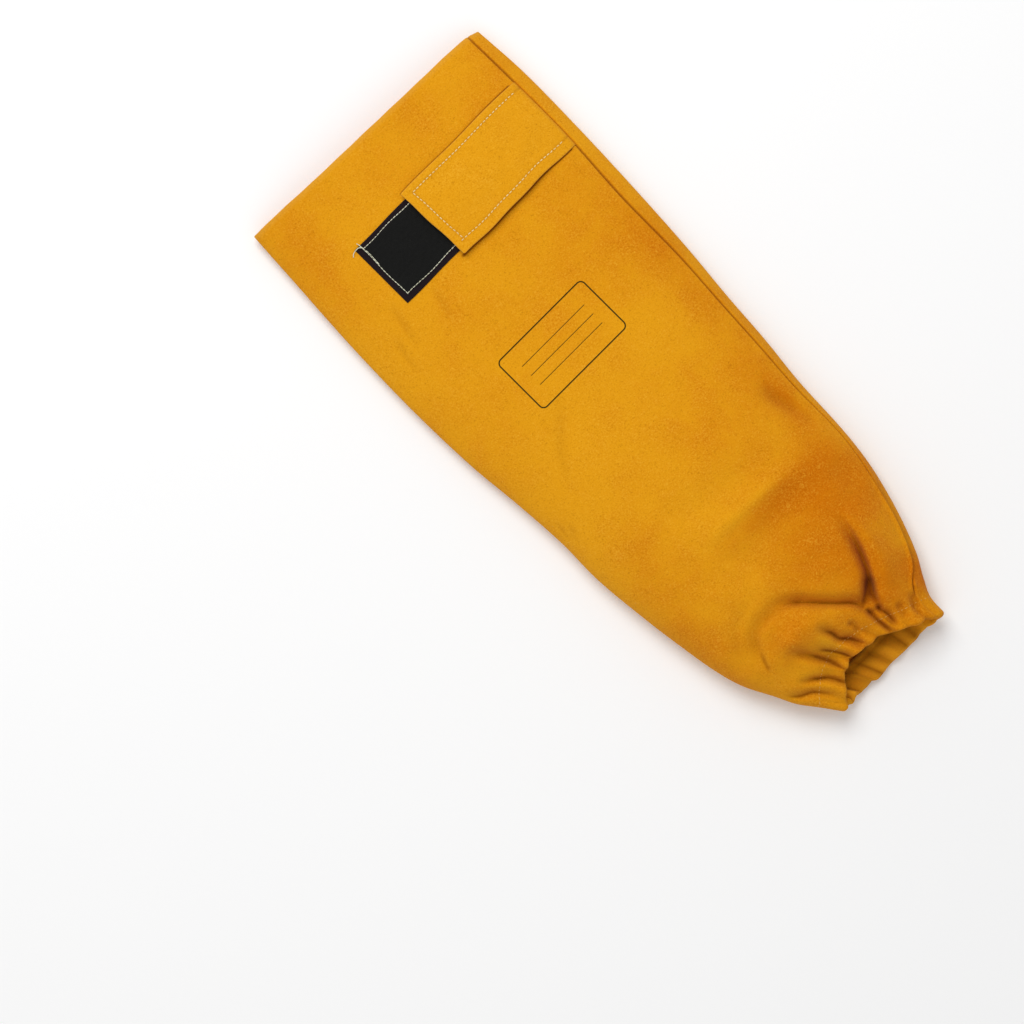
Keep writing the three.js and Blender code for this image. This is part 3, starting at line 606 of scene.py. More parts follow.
class HideForm:
    # the smooth sleeve, its outward direction, dips and folds on one grid of rows and columns
    def __init__(self, along, shares):
        step, seam = sleeve["probe"], seamSettings
        place, self.front, total = smoothSleeve(along, shares)
        ahead = smoothSleeve(along, (shares + step) % 1)[0]
        behind = smoothSleeve(along, (shares - step) % 1)[0]
        self.out = unit(np.cross(ahead - behind, towardsCuff(along, shares)))
        x, y = place[..., 0], place[..., 1]
        lift, shade = foldLift(x, y)
        self.fold, self.shade = self.front * lift, self.front * shade
        calm = 1 - 0.7 * ease(0.9, 1, along)[:, None]
        self.lift = self.fold + self.front * hideUneven(x, y) * calm
        fromSeam = np.minimum(shares, 1 - shares)[None, :] * total
        groove = bell(fromSeam, seam["width"])
        welt = bell(fromSeam - seam["weltAt"], seam["weltWidth"]) * seam["weltHeight"]
        down = along[:, None] * sleeve["length"]
        self.groove = groove * (1 - 0.8 * ease(*seam["fadesAt"], down))
        overhang = ease(*seam["overhangFrom"], down) * (1 - ease(*seam["overhangTo"], down))
        self.strip = (shares > 0.5)[None, :] * bell(fromSeam, seam["stripWidth"]) * overhang
        lip = bell(fromSeam - seam["lipAt"], seam["lipWidth"]) * overhang
        lip = (shares < 0.5)[None, :] * lip * seam["lipHeight"]
        fromSide = np.minimum(x - x.min(1, keepdims=True), x.max(1, keepdims=True) - x)
        corner = 1 - 0.8 * bell(fromSide, 5)
        self.gather = gatherDip(along, shares, self.front) * corner
        self.dip = self.gather + seam["depth"] * self.groove - welt + seam["stripDepth"] * self.strip - lip
        edge = 1 - ease(0, 0.03, along)[:, None]
        ripple = np.sin(shares * 31 + 1)[None, :] * 0.16 + np.sin(shares * 139)[None, :] * 0.07
        self.place = place.copy()
        self.place[..., 1] += edge * ripple
        mouth = ease(0.955, 1, along)[:, None]
        scallop = gatherWave(shares) * gatherSettings["scallop"] * (1 + 0.6 * np.sin(shares * 37))
        scallop = scallop + 0.6 * np.sin(shares * 59 + 0.4) + 0.4 * np.sin(shares * 101)
        self.place[..., 1] += mouth * scallop[None, :] * corner
        self.place[..., 2] += edge * self.front * np.sin(shares * 47 + 0.6)[None, :] * 0.4
        around = np.minimum(np.roll(self.lift, 1, axis=1), np.roll(self.lift, -1, axis=1))
        around = np.minimum(self.lift, around)
        beside = np.pad(around, ((1, 1), (0, 0)), mode="edge")
        self.lowLift = np.minimum(around, np.minimum(beside[:-2], beside[2:]))

    def points(self, rows, insets, low=0.0):
        # insets: how deep below the outer face each of the rows lies; low is 1 for the inner face's
        # rows above the hem, which follow the lowest fold beside them and so stay under the outer face
        insets, low = np.atleast_1d(insets), np.atleast_1d(low)[:, None]
        insets = insets[:, None] if insets.ndim == 1 else insets
        points = self.place[rows] - (self.dip[rows] + insets)[..., None] * self.out[rows]
        points[..., 2] += blendTo(self.lift[rows], self.lowLift[rows], low)
        return points


def hideTop(x, y):
    # the height of the front's outer face at places seen from above, away from the two ends
    section = sectionAt(0.5 - y / sleeve["length"])
    across = (x - section["centre"]) / section["half"]
    z = outlineHeight(section, across, True)
    groove = bell(x - section["seamX"], seamSettings["width"])
    front = ease(0, 0.5, (z - section["side"]) / (section["crown"] - section["side"]))
    return z + front * (foldLift(x, y)[0] + hideUneven(x, y)) - seamSettings["depth"] * groove


# the hide's grid: for each stretch of the outer face its start, end and number of rows
hideMesh = {
    "columns": 280,
    "outerSteps": ((0.35, 80, 20), (80, 330, 48), (330, 398, 27), (398, 438, 33), (438, 497.5, 73)),
    "turnSteps": 8,
}
# soft patches of deeper colour, or paler below 0: down, across, half length, half width, strength;
# partly the leather's own uneven tone, partly painted shade in dips such as the one below the ridge
# across the body, and at down 354 a painted highlight on that ridge
tintPatches = np.array([
    (374, 53, 22, 22, 0.45), (365, 6, 9, 42, 0.45), (354, 0, 4, 34, -0.3), (392, 58, 26, 24, 0.75),
    (446, 30, 26, 16, 0.65), (432, -42, 22, 24, 0.4), (474, -6, 22, 48, 0.2), (322, 70, 30, 10, 0.6),
    (396, -82, 46, 18, 0.3), (300, 30, 60, 60, 0.18), (345, -70, 30, 30, 0.22), (60, -88, 50, 14, 0.2),
    (200, 85, 60, 12, 0.25), (410, 5, 30, 26, 0.35), (170, 76, 120, 26, 0.35), (20, 0, 30, 130, 0.2),
    (384, 20, 20, 40, 0.2), (468, 52, 16, 8, 0.75), (458, -25, 10, 6, -0.5),
])


def tintAt(x, y):
    down = halfLength - y
    tint = np.zeros(x.shape)
    for atDown, across, halfDown, halfAcross, strength in tintPatches:
        away = ((down - atDown) / halfDown) ** 2 + ((x - across) / halfAcross) ** 2
        tint += strength * np.exp(-away)
    # deeper still towards the cuff
    return np.clip(tint + 0.32 * ease(330, 420, down), -0.3, 1)


def buildHide():
    # one closed grid: down the outer face, round the mouth, up the hem's inner layer to its cut edge,
    # back along the casing and up the inner face to the cut edge at the arm
    s, length = sleeve, sleeve["length"]
    leather, near, far = s["leather"], s["elasticNear"], s["elasticFar"]
    casing = s["elasticThick"] + 2 * s["gap"]
    turn = (2 * leather + casing) / 2
    shares = hideColumns(hideMesh["columns"])
    spans = [np.linspace(low, high, count, endpoint=False) for low, high, count in hideMesh["outerSteps"]]
    outer = np.concatenate(spans)
    fromMouth = turn * (1 - np.sin(np.linspace(0, math.pi / 2, hideMesh["turnSteps"] // 2 + 1)))
    hemRows = [turn, near - 1, near, *s["casingRows"], far, s["hemStitch"], s["pastStitch"], s["hemEdge"]]
    hemDowns = length - np.array(hemRows)
    downs = np.unique(np.round(np.concatenate([[0], outer, length - fromMouth, hemDowns]), 5))
    form = HideForm(downs / length, shares)
    row = lambda down: np.searchsorted(downs, np.round(down, 5) - 1e-6)
    # each entry: row, inset, share of the hem's inner puffs, cut edge, outside
    profile = [(0, 0.35, 0, 1, 1), (row(outer[0]), 0, 0, 0.7, 1)]
    outerRows = np.unique(np.concatenate([row(outer[1:]), row(hemDowns)]))
    outerRows = outerRows[downs[outerRows] < length - turn - 1e-6]
    profile += [(r, 0, 0, 0, 1) for r in outerRows]
    for angle in np.linspace(0, math.pi, hideMesh["turnSteps"] + 1):
        at = length - turn * (1 - math.sin(angle))
        puff = (1 - math.cos(angle)) / 2
        profile.append((np.argmin(np.abs(downs - at)), 2 * turn * puff, puff**2, 0, 1 if angle < 2 else 0.5))
    hem = [(back, 2 * turn, 1, 0, 0.3) for back in s["casingRows"]]
    hem += [
        (far, 2 * turn, 0.8, 0, 0.3),
        (s["hemStitch"], s["pressedTo"][0], 0.6, 0, 0.3), (s["pastStitch"], s["pressedTo"][1], 0.6, 0, 0.3),
        (s["hemEdge"], 2 * leather + 0.2, 0.5, 0.6, 0.2), (s["hemEdge"], leather + 0.3, 0, 0.6, 0.2),
        (s["pastStitch"], leather + 0.3, 0, 0, 0), (s["hemStitch"], leather + 0.9, 0, 0, 0),
    ]
    hem += [(back, leather + casing, 0, 0, 0) for back in (far, *s["casingRows"][::-1], near, near - 1)]
    profile += [(row(length - back), *rest) for back, *rest in hem]
    inner = outerRows[downs[outerRows] < length - near + 1 + 1e-6][::-1]
    inHem = downs[inner] > length - s["hemEdge"] - 0.01
    inner = inner[inHem | (np.arange(len(inner)) % 2 == 0)]  # above the hem every second row
    profile += [(r, leather, 0, 0, 0) for r in inner]
    profile += [(row(outer[0]), leather, 0, 0.7, 0), (0, leather - 0.35, 0, 1, 0.5)]
    rows, insets, puffShares, edges, outward = np.array(profile, float).T
    rows, puffShares, outward = rows.astype(int), puffShares[:, None], outward[:, None]
    first = len(profile) - len(inner) - 2  # the first row of the inner face
    low = (np.arange(len(rows)) >= first) & (downs[rows] < length - s["hemEdge"] - 1)
    puffs = hemPuffs(shares)[None, :]
    height = gatherSettings["puff"] * (1 - 0.6 * form.front[rows])
    points = form.points(rows, insets[:, None] + puffShares * puffs * height, low * 1.0)
    piece = addPiece("sleeve_hide", points, gridQuads(len(rows), len(shares), True, True), suede)
    # painted shade where shade falls: in folds, seam groove, the strip under the overhang and gathers, in the
    # valleys between puffs and deeper into the inner face
    valley = np.clip(-form.fold[rows] / 12, 0, 1) ** 1.5 * 0.35
    valley += form.shade[rows] + form.groove[rows] * 0.75 + form.strip[rows] * 0.5 * outward
    valley += np.clip(form.gather[rows] / 3, 0, 1) ** 2 * 0.4 * outward
    valley += 0.85 * puffShares * (1 - puffs) ** 1.3 * (1 - 0.5 * form.front[rows])
    inward = ease(8, 20, length - downs[rows]) * ease(400, 450, downs[rows])
    valley += 0.2 * (outward <= 0.3) * inward[:, None] * (1 - form.front[rows])
    tint = tintAt(points[..., 0], points[..., 1]) * (form.front[rows] > 0.02)
    across = np.ones((1, len(shares)))
    addAttributes(
        piece, valley=np.clip(valley, 0, 1), tint=tint, edge=edges[:, None] * across, outside=outward * across
    )
    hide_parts("sleeve_body")
    return shares


def buildCuffBand(shares):
    # the elastic: a closed band in the hem's casing, ribbed round the sleeve
    s, count = sleeve, 8
    low, high = s["leather"] + s["gap"], s["leather"] + s["gap"] + s["elasticThick"]
    downs = s["length"] - np.linspace(s["elasticFar"], s["elasticNear"], count)
    form = HideForm(downs / s["length"], shares)
    rows = np.concatenate([np.arange(count), np.arange(count)[::-1]])
    rib = 0.08 * (np.arange(count) % 2)
    points = form.points(rows, np.concatenate([low + rib, high - rib[::-1]]))
    faces = gridQuads(len(rows), len(shares), True, True)
    piece = addPiece("cuff_band", points, faces, elasticFinish)
    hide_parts("cuff_elastic")


seamPlies = {  # mm; along the sleeve from start to end
    "fromSeam": 1.9, "width": 7.0, "thick": 2.6, "under": 1.7, "start": 2, "end": 464, "rows": 150,
}


def buildSeamPlies():
    # the two cut edges turned inside, side by side against the front: a strip with a split rim
    s, p = sleeve, seamPlies
    top = s["leather"] + s["gap"] + p["under"]
    downs = np.linspace(p["start"], p["end"], p["rows"])
    total = smoothSleeve(downs / s["length"], np.array([0.0]))[2]
    ring = np.array([
        (0.0, 0.2), (0.03, 0.0), (0.5, 0.0), (0.95, 0.03), (1.0, 0.2), (1.01, 0.38), (0.94, 0.5),
        (1.01, 0.62), (1.0, 0.82), (0.95, 0.97), (0.5, 1.0), (0.03, 1.0), (0.0, 0.8), (0.03, 0.5),
    ])
    points = np.zeros((len(downs), len(ring), 3))
    for index, (across, deep) in enumerate(ring):  # one lengthwise line at a time
        wander = 1 + 0.05 * np.sin(downs * 0.21 + (deep > 0.5)) * (across > 0.9)
        share = (p["fromSeam"] + across * p["width"] * wander) / total[:, 0]
        place, out = smoothSleeveAt(downs / s["length"], share)
        points[:, index] = place - out * (top + deep * p["thick"])
    faces = gridQuads(len(downs), len(ring), False, True).tolist()
    end = np.arange(len(ring))
    faces += [end[::-1].tolist(), (end + (len(downs) - 1) * len(ring)).tolist()]
    piece = addPiece("seam_plies", points, faces, insideSuede)
    addAttributes(piece, edge=np.repeat([(ring[:, 0] > 0.9) * 1.0], len(downs), axis=0))
    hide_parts("seam_allowance")


def smoothSleeveAt(along, share):
    # one point for each row, at its own share, with its outward direction and the front's folds
    grid, step = np.linspace(0, 0.12, 61), sleeve["probe"]
    place, front, _ = smoothSleeve(along, grid)
    rowMark = 2.0 * np.arange(len(along))  # keeps one long rising list for all rows
    known = (grid[None, :] + rowMark[:, None]).ravel()
    pick = lambda values, at: readColumns(at + rowMark, known, values)
    middle = pick(place, share)
    ahead = pick(place, share + step) - pick(place, share - step)
    out = unit(np.cross(ahead, pick(towardsCuff(along, grid), share)))
    x, y = middle[:, 0], middle[:, 1]
    middle[:, 2] += pick(front[..., None], share)[:, 0] * (foldLift(x, y)[0] + hideUneven(x, y))
    return middle, out


# the closure: loop patch, hook strip and flap, in mm
closure = {
    "flapArmSide": 43.6, "flapCuffSide": 102.4,
    "flapEnd": (-14.6, -12.2),  # x of the free end at its arm side and at its cuff side
    "flapReach": 106.0, "flapThick": 1.6, "flapCorner": 1.3,
    "tapeTop": 48.2, "tapeBottom": 98.4, "loopStart": -62.2, "loopEnd": 40.0,
    "hookStart": -6.0, "hookEnd": 44.0, "tapeThick": 1.7, "selvedge": 3.2,
    "loopStand": 0.15, "hookStand": 2.3,  # how far the tapes' undersides stand off the leather
    "flapStitchIn": 5.4, "flapStitchInCuff": 7.6, "flapStitchEnd": 6.8, "flapStitchRoot": 88.5,
}
closureMiddle = halfLength - (closure["flapArmSide"] + closure["flapCuffSide"]) / 2


def seamXAt(y):
    return sectionAt(0.5 - y / sleeve["length"])["seamX"]


def slabFaces(rows, columns):
    # two sheets of the same grid and the rim between them
    sheet = gridQuads(rows, columns)
    grid = np.arange(rows * columns).reshape(rows, columns)
    rim = np.concatenate([grid[0, :-1], grid[:-1, -1], grid[-1, :0:-1], grid[:0:-1, 0]])
    after = np.roll(rim, -1)
    under = rows * columns
    sides = np.stack([rim, rim + under, after + under, after], axis=1)
    return np.concatenate([sheet, sheet[:, ::-1] + under, sides])


def roundedRim(fromEdge, radius):
    # 0 at the edge and 1 a radius inside it, on a quarter circle
    t = np.clip(fromEdge / radius, 0, 1)
    return np.sqrt(np.clip(1 - (1 - t) ** 2, 0, 1))


def facingOut(points, faces):
    # turns the faces round if the closed body they make is inside out
    p = points.reshape(-1, 3)
    a, b, c, d = [p[faces[:, k]] for k in range(4)]
    volume = np.sum(a * (np.cross(b, c) + np.cross(c, d)))
    return faces if volume > 0 else faces[:, ::-1]


def addSlab(name, x, y, upper, lower, material):
    # a closed slab between two heights over one grid of places
    points = np.stack([np.stack([x, y, height], 2) for height in (upper, lower)])
    return addPiece(name, points, facingOut(points, slabFaces(*x.shape)), material)


def flapStand(x, y):
    # how far the flap's underside stands off the leather: over both tapes, then down to its root
    c = closure
    root = seamXAt(y)
    over = 3 * sleeve["gap"] + 2 * c["tapeThick"]
    down = ease(c["hookEnd"] + 1, root - 4, x)
    return blendTo(over, 0.6, down) - 0.9 * ease(root - 2.5, root, x)


def flapTop(x, y):
    wave = 0.28 * softWaves(x, y, 38, 21) + 0.12 * softWaves(x, y, 15, 22)
    belly = 0.25 * np.cos((y - closureMiddle) / 30 * math.pi)
    return hideTop(x, y) + flapStand(x, y) + closure["flapThick"] + wave + belly


def flapEdgeY(x, armSide):
    # the two long edges: nearly straight, with the small waves of a hand-cut strip; x is an array
    # or a shader value
    c, run = closure, (x - closure["flapEnd"][0]) / closure["flapReach"]
    sine = (lambda value: value.math("SINE")) if isinstance(run, Value) else np.sin
    if armSide:
        return sine(run * 9 + 0.5) * 0.35 + run * 0.7 + (halfLength - c["flapArmSide"] - 0.35)
    wave = sine(run * 8 + 2.2) * 0.45 + sine(run * 19) * 0.25
    return wave + run * 0.8 + (halfLength - c["flapCuffSide"] - 0.4)


def buildFlap():
    c = closure
    width = c["flapCuffSide"] - c["flapArmSide"]
    v = edgePlaces(width, 62, (0, 0.15, 0.4, 0.8, 1.3, 1.9, 2.6, 3.2)) / width
    u = edgePlaces(c["flapReach"], 112, (0, 0.15, 0.4, 0.8, 1.4)) / c["flapReach"]
    u, v = np.meshgrid(u, v)  # u from the free end to the seam, v from the arm side
    inCorner = np.maximum(0, c["flapCorner"] - np.minimum(v, 1 - v) * width)
    cut = c["flapCorner"] - np.sqrt(np.maximum(0, c["flapCorner"] ** 2 - inCorner**2))
    free = blendTo(c["flapEnd"][0], c["flapEnd"][1], v) + 0.25 * np.sin(v * 11) + cut
    roughY = halfLength - blendTo(c["flapArmSide"], c["flapCuffSide"], v)
    x = blendTo(free, seamXAt(roughY) - 0.1, u)
    y = blendTo(flapEdgeY(x, True), flapEdgeY(x, False), v)
    fromEdge = np.minimum(np.minimum(v, 1 - v) * width, x - free)
    body = np.maximum(0.16, roundedRim(fromEdge, 0.9))
    half, pressed = c["flapThick"] / 2, flapStitchNearness(x, y)
    middle = flapTop(x, y) - half
    upper, lower = middle + body * half - 0.32 * pressed, middle - body * half
    piece = addSlab("closure_flap_suede", x, y, upper, lower, flapSuede)
    rim, top = np.exp(-fromEdge / 0.35), np.stack([0 * x + 1, 0 * x])
    # painted shade along the pressed stitch line on the flap's top; the flap's top is also a little paler
    addAttributes(piece, valley=top * pressed * 0.35, tint=top * -0.15, edge=[rim, rim], outside=top)
    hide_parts("closure_flap")


def flapStitchY(x, armSide):
    # the stitch lines along the flap's two long edges
    c = closure
    return flapEdgeY(x, armSide) + (-c["flapStitchIn"] if armSide else c["flapStitchInCuff"])


def flapStitchLine(side, count=200):
    # the three sides of the stitched U as lines of (x, y) on the flap
    c = closure
    free = c["flapEnd"][0] + c["flapStitchEnd"]
    x = np.linspace(free, c["flapStitchRoot"], count)
    if side != "end":
        return x, flapStitchY(x, side == "arm")
    y = np.linspace(flapStitchY(free, True), flapStitchY(free, False), count)
    t = (y - y[0]) / (y[-1] - y[0])
    return free + t * (c["flapEnd"][1] - c["flapEnd"][0]) + 0.2 * np.sin(t * 7), y


def flapStitchNearness(x, y):
    # 1 on the flap's stitch line, falling to 0 beside it
    free = closure["flapEnd"][0] + closure["flapStitchEnd"]
    armSide, cuffSide = [np.abs(y - flapStitchY(x, side)) for side in (True, False)]
    along = np.minimum(armSide, cuffSide) + 99 * (x < free - 0.5)
    endX, endY = flapStitchLine("end")
    end = np.abs(x - np.interp(y, endY[::-1], endX[::-1]))
    inside = (y < endY[0] + 0.5) & (y > endY[-1] - 0.5)
    near = np.minimum(along, np.where(inside, end, 99))
    return bell(near, 0.8)


def tapeFace(x, y, low, high, fluffy):
    # the height of a tape's upper face over its underside, and its share of pile
    c = closure
    length, width = high - low, c["tapeBottom"] - c["tapeTop"]
    u = x - low
    v = halfLength - c["tapeTop"] - y - 0.25 * np.sin(u * 0.12)
    fromEdge = np.maximum(0, np.minimum(np.minimum(u, length - u), np.minimum(v, width - v)))
    sewn = c["selvedge"] + 0.5 * softWaves(x, y, 9, 31)
    pile = ease(sewn, sewn + 1.5, fromEdge) if fluffy else ease(1.0, 2.0, fromEdge)
    rough = 0.13 * softWaves(x, y, 2.6, 33, 22) + 0.16 * softWaves(x, y, 5.5, 34, 18)
    body = np.maximum(0.12, roundedRim(fromEdge, 0.45))
    return body * (0.85 + pile * (0.75 + rough * (1.0 if fluffy else 0.2))), pile, body


def buildTape(name, low, high, stand, node, material, fluffy, nx, ny, restsOn):
    # a woven tape: a flat selvedge round its rim and a raised uneven pile inside it
    c = closure
    length, width = high - low, c["tapeBottom"] - c["tapeTop"]
    rim = (0, 0.15, 0.4, 0.8)
    u, v = np.meshgrid(edgePlaces(length, nx, rim), edgePlaces(width, ny, rim))
    x, y = low + u, halfLength - c["tapeTop"] - v - 0.25 * np.sin(u * 0.12)
    rise, pile, body = tapeFace(x, y, low, high, fluffy)
    base = hideTop(x, y) + stand
    piece = addSlab(name, x, y, base + rise, base + 0.1 - 0.1 * body, material)
    addAttributes(piece, pile=[pile, 0 * pile])
    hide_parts(node)
    length * 0.001
    width * 0.001


def tapeTop(x, y):
    # where the tape's stitches lie: just above the highest of its face within a stitch's width
    c, highest = closure, 0
    for shiftX, shiftY in ((0, 0), (0.5, 0.5), (0.5, -0.5), (-0.5, 0.5), (-0.5, -0.5)):
        face = tapeFace(x + shiftX, y + shiftY, c["loopStart"], c["loopEnd"], True)[0]
        highest = np.maximum(highest, face)
    return hideTop(x, y) + c["loopStand"] + highest + 0.1


# sewing threads, in mm, each with its light and its dark colour
threadSettings = {
    "flap": {"pitch": 3.0, "length": 2.2, "radius": 0.36, "colour": ((245, 223, 160), (226, 187, 104))},
    "tape": {"pitch": 2.6, "length": 2.5, "radius": 0.27, "colour": ((232, 232, 206), (170, 170, 140)),
             "fromTop": 3.5, "fromBottom": 4.3, "fromEnd": 4.4, "runs": (46, 48, 13.5)},
    "cuff": {"pitch": 3.4, "length": 2.2, "radius": 0.27, "colour": ((228, 178, 84), (196, 134, 34))},
}


def stitchTemplate(rings=5, sides=6):
    # one stitch lying along +x from -1 to 1, thickness in y and z; ends sunk by the square of x
    t = np.linspace(-0.86, 0.86, rings)[:, None]
    angle = np.linspace(0, 2 * math.pi, sides, endpoint=False)[None, :]
    thick = (1 - t**4) ** 0.5
    body = np.stack([t + 0 * angle, thick * np.cos(angle), thick * np.sin(angle)], axis=2).reshape(-1, 3)
    return np.vstack([body, [(-1, 0, 0), (1, 0, 0)]]), tubeFaces(rings, sides)


def tubeFaces(rings, sides):
    # a tube's sides, and the triangles of both ends, each round a point of its own after the rings
    first, last, start = rings * sides, rings * sides + 1, (rings - 1) * sides
    faces = gridQuads(rings, sides, False, True).tolist()
    faces += [[first, (i + 1) % sides, i] for i in range(sides)]
    return faces + [[last, start + i, start + (i + 1) % sides] for i in range(sides)]


def threadTail(places, radius, rings=16, sides=6):
    # a loose thread end: a tube along a smooth line through a few places
    line = throughPlaces(places, rings)
    run = unit(np.gradient(line, axis=0))
    side = unit(np.cross((0.0, 0.0, 1.0), run))
    up = np.cross(run, side)
    angle = np.linspace(0, 2 * math.pi, sides, endpoint=False)[None, :, None]
    tube = line[:, None] + radius * (np.cos(angle) * side[:, None] + np.sin(angle) * up[:, None])
    return np.vstack([tube.reshape(-1, 3), line[:1], line[-1:]]), tubeFaces(rings, sides)


def joined(parts):
    # several bodies as one list of points and one of faces
    points, faces, start = [], [], 0
    for some, theirs in parts:
        points.append(some)
        faces += [[i + start for i in face] for face in theirs]
        start += len(some)
    return np.vstack(points), faces


def stitchRow(centres, headings, ups, settings, seed):
    # copies of the template on centres, each turned to its heading, with small differences
    points, faces = stitchTemplate()
    length, radius = settings["length"], settings["radius"]
    rng = np.random.default_rng(seed)
    count = len(centres)
    swing = rng.normal(0, 0.05, count)[:, None]
    heading = unit(headings + np.cross(ups, headings) * swing)
    side = np.cross(ups, heading)
    size = 1 + rng.normal(0, 0.05, (count, 1, 1))
    t = points[None, :, 0:1]
    placed = centres[:, None] + heading[:, None] * t * (length / 2) * size
    placed = placed + side[:, None] * points[None, :, 1:2] * radius
    placed = placed + ups[:, None] * (points[None, :, 2:3] * radius * 0.8 - 0.45 * radius * t**2)
    shifts = np.arange(count) * len(points)
    return placed.reshape(-1, 3), [[i + shift for i in face] for shift in shifts for face in faces]


def spread(line, pitch, reach):
    # what reads values of a line's places at even steps along it, and the line's heading there
    marks = marksAlong(line)
    at = np.arange(pitch / 2, marks[-1], pitch)
    read = lambda values, shift=0.0: readColumns(at + shift, marks, values)
    return read, unit(read(line, reach) - read(line, -reach))


def stitchesOn(lines, heightAt, settings, seed):
    # stitches along lines of (x, y), laid on a height
    rows, step = [], 0.8
    for index, line in enumerate(np.stack(line, axis=1) for line in lines):
        read, runs = spread(line, settings["pitch"], 0.3)
        px, py = read(line).T
        slope = [heightAt(px + a, py + b) - heightAt(px - a, py - b) for a, b in ((step, 0), (0, step))]
        slope = np.stack(slope, axis=1) / (2 * step)
        ups = unit(np.column_stack([-slope, np.ones(len(px))]))
        along = unit(np.column_stack([runs, np.sum(slope * runs, axis=1)]))
        centres = np.column_stack([px, py, heightAt(px, py)])
        rows.append(stitchRow(centres, along, ups, settings, seed + index))
    return joined(rows)


def addThread(name, kind, parts):
    points, faces = joined(parts)
    addPiece(name, points, faces, threadFinish(kind + " thread", *threadSettings[kind]["colour"]))


def buildFlapStitches():
    lines = [flapStitchLine(side) for side in ("arm", "end", "cuff")]
    stitches = stitchesOn(lines, lambda x, y: flapTop(x, y) - 0.16, threadSettings["flap"], 51)
    addThread("flap_stitches", "flap", [stitches])


def buildTapeStitches():
    # three sides of the tape, a doubled start at its corner and two loose ends there
    settings, c = threadSettings["tape"], closure
    t = np.linspace(0, 1, 120)
    top, bottom = c["tapeTop"] + settings["fromTop"], c["tapeBottom"] - settings["fromBottom"]
    left = c["loopStart"] + settings["fromEnd"]
    topRun, bottomRun, doubledRun = settings["runs"]
    lines = [
        (left + t * topRun, halfLength - top - 0.35 * np.sin(t * 9)),
        (left + 0.3 * np.sin(t * 8), halfLength - (top - 4.0) - t * (bottom - top + 4.0)),
        (left + t * bottomRun, halfLength - bottom + 0.4 * np.sin(t * 8 + 1)),
        (left + 0.75 + 0.2 * np.sin(t * 5), halfLength - (top + 2) - t * doubledRun),
    ]
    corner = c["loopStart"] - 0.6, halfLength - c["tapeTop"] + 0.2
    # both loose ends: x and y from the corner, and the height above the leather
    tails = (
        ((5.6, -3.2, 1.9), (3.6, -1.2, 2.3), (0.8, -1.0, 1.9), (-1.8, -1.6, 1.2), (-3.4, -3.2, 0.75)),
        ((4.6, 1.9, 0.9), (5.0, 0.2, 2.1), (5.2, -2.4, 2.2), (5.4, -5.0, 2.1)),
    )
    parts = [stitchesOn(lines, tapeTop, settings, 71)]
    for steps in tails:
        x, y, up = (np.array(steps) + (*corner, 0)).T
        line = np.stack([x, y, hideTop(x, y) + up], axis=1)
        parts.append(threadTail(line, settings["radius"] * 1.1))
    addThread("tape_stitches", "tape", parts)


def buildCuffStitches(shares):
    # one line of stitches round the cuff, through both layers of the hem
    settings, s = threadSettings["cuff"], sleeve
    down = s["length"] - s["hemStitch"]
    form = HideForm(np.array([down - 1, down, down + 1]) / s["length"], shares)
    line = form.points(np.array([1]), [0.0])[0]
    line = np.vstack([line, line[:1]])
    out = np.vstack([form.out[1], form.out[1][:1]])
    read, run = spread(line, settings["pitch"], 0.5)
    ups = read(out)
    ups = unit(ups - run * np.sum(ups * run, axis=1, keepdims=True))
    addThread("cuff_stitches", "cuff", [stitchRow(read(line) - ups * 0.05, run, ups, settings, 91)])


# everything is put together here
bodyLow, bodyHigh = (np.array(corner) * 1000 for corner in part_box("sleeve_body"))
sleeveShift = np.zeros(3)
plain = smoothSleeve(np.linspace(0, 1, 120), np.linspace(0, 0.999, 300))[0].reshape(-1, 3)
sleeveShift[:2] = ((bodyLow + bodyHigh) / 2 - (plain.min(0) + plain.max(0)) / 2)[:2]
print("sleeve's own axes lie at", np.round(sleeveShift, 2), "mm")

suede = suedeFinish("suede with print", True)
flapSuede = suedeFinish("flap suede", False)
insideSuede = suedeFinish("cut suede", False)
elasticFinish = bandFinish("woven elastic")
loopFinish = tapeFinish("loop pile", True)
hookFinish = tapeFinish("hook tape", False)

hideShares = buildHide()
buildCuffBand(hideShares)
buildSeamPlies()
loopRun = closure["loopStart"], closure["loopEnd"], closure["loopStand"]
hookRun = closure["hookStart"], closure["hookEnd"], closure["hookStand"]
buildTape("loop_patch", *loopRun, "loop_tape", loopFinish, True, 170, 92, "sleeve_hide")
buildTape("hook_strip", *hookRun, "hook_tape", hookFinish, False, 60, 60, "loop_patch")
buildFlap()
buildFlapStitches()
buildTapeStitches()
buildCuffStitches(hideShares)

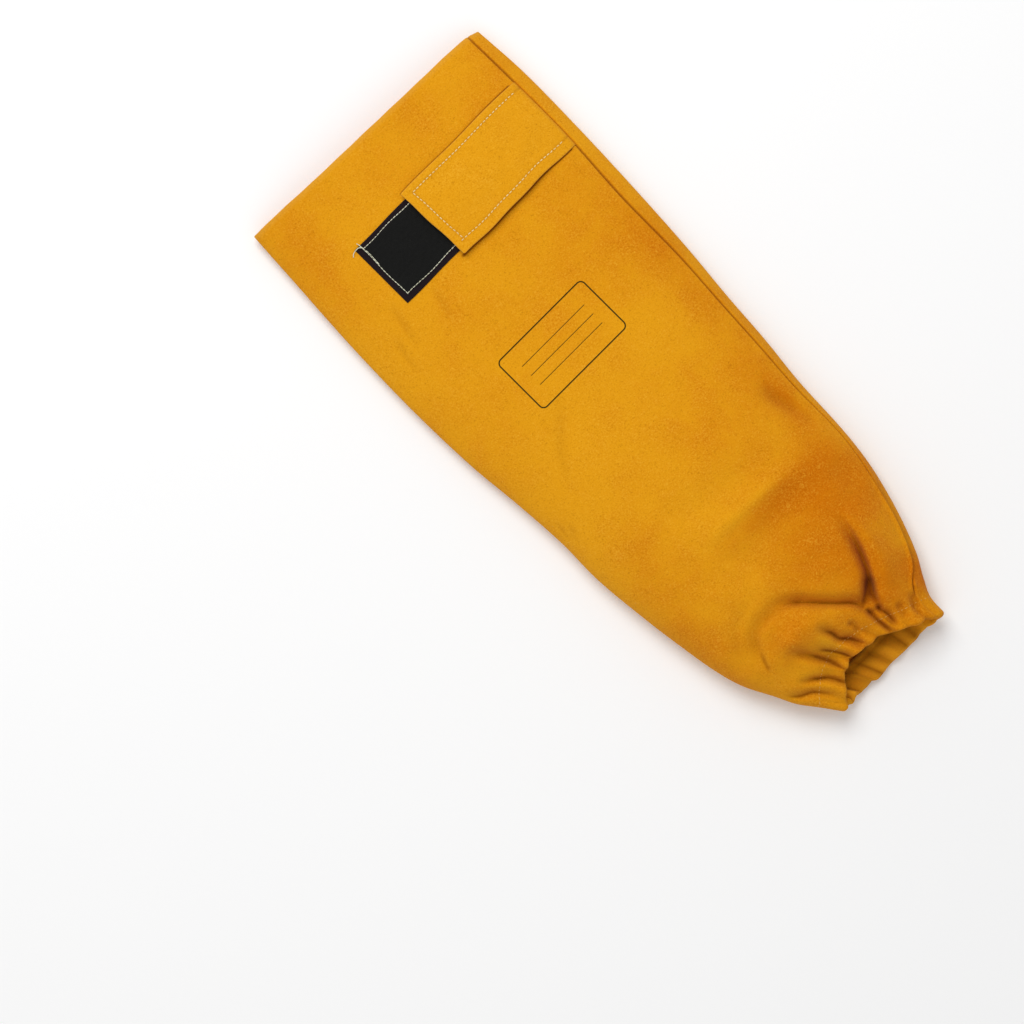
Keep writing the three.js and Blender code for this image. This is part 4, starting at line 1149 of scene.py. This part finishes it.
# floor, light and camera
stageSettings = {
    "floorSize": 12.0, "floor": (253, 253, 253), "floorTone": (246, 246, 246),
    "key": {"power": 40.0, "size": 1.6, "from": (0.3, 0.9, 1.5), "distance": 2.6},
    "fill": {"power": 10.0, "size": 2.6, "from": (-0.9, -0.5, 1.4), "distance": 2.8},
    "sky": 0.47,
    "lens": 135.0, "sensor": 36.0, "frameWidth": 0.688, "aimAt": (-0.108, 0.0, 0.012), "turn": -45.0,
}


def buildFloor():
    half = stageSettings["floorSize"] / 2
    mesh = bpy.data.meshes.new("floor")
    corners = [(x * half, y * half, 0) for x, y in ((-1, -1), (1, -1), (1, 1), (-1, 1))]
    mesh.from_pydata(corners, [], [(0, 1, 2, 3)])
    floor = addObject("floor", mesh)
    finish = Finish("white paper", Roughness=0.9, Specular_IOR_Level=0.1)
    tone = finish.noise(3.0, 1.0)
    white, grey = paint(*stageSettings["floor"]), paint(*stageSettings["floorTone"])
    mesh.materials.append(finish.set(Base_Color=finish.mixColour(tone * 0.02, white, grey)))
    floor.location.z = -0.0003  # just clear of the leather


def addSoftLight(name):
    s, light = stageSettings[name], bpy.data.lights.new(name, "AREA")
    light.energy, light.size = s["power"], s["size"]
    lamp = addObject(name, light)
    lamp.location = unit(np.array(s["from"])) * s["distance"]
    lamp.rotation_mode = "QUATERNION"
    lamp.rotation_quaternion = lamp.location.to_track_quat("Z", "Y")


def buildCamera():
    s = stageSettings
    camera = bpy.data.cameras.new("camera")
    camera.lens, camera.sensor_width = s["lens"], s["sensor"]
    camera.clip_start, camera.clip_end = 0.05, 30
    holder = addObject("camera", camera)
    distance = s["lens"] / s["sensor"] * s["frameWidth"]
    holder.location = np.array(s["aimAt"]) + (0, 0, distance)
    holder.rotation_euler = (0, 0, math.radians(s["turn"]))
    bpy.context.scene.camera = holder


buildFloor()
addSoftLight("key")
addSoftLight("fill")
world = bpy.data.worlds.new("studio")
world.use_nodes = True
background = world.node_tree.nodes["Background"].inputs
background["Color"].default_value = (1, 1, 1, 1)
background["Strength"].default_value = stageSettings["sky"]
bpy.context.scene.world = world
bpy.context.scene.view_settings.view_transform = "Standard"  # keeps the suede's full gold
buildCamera()
print("floor, light and camera are in place")
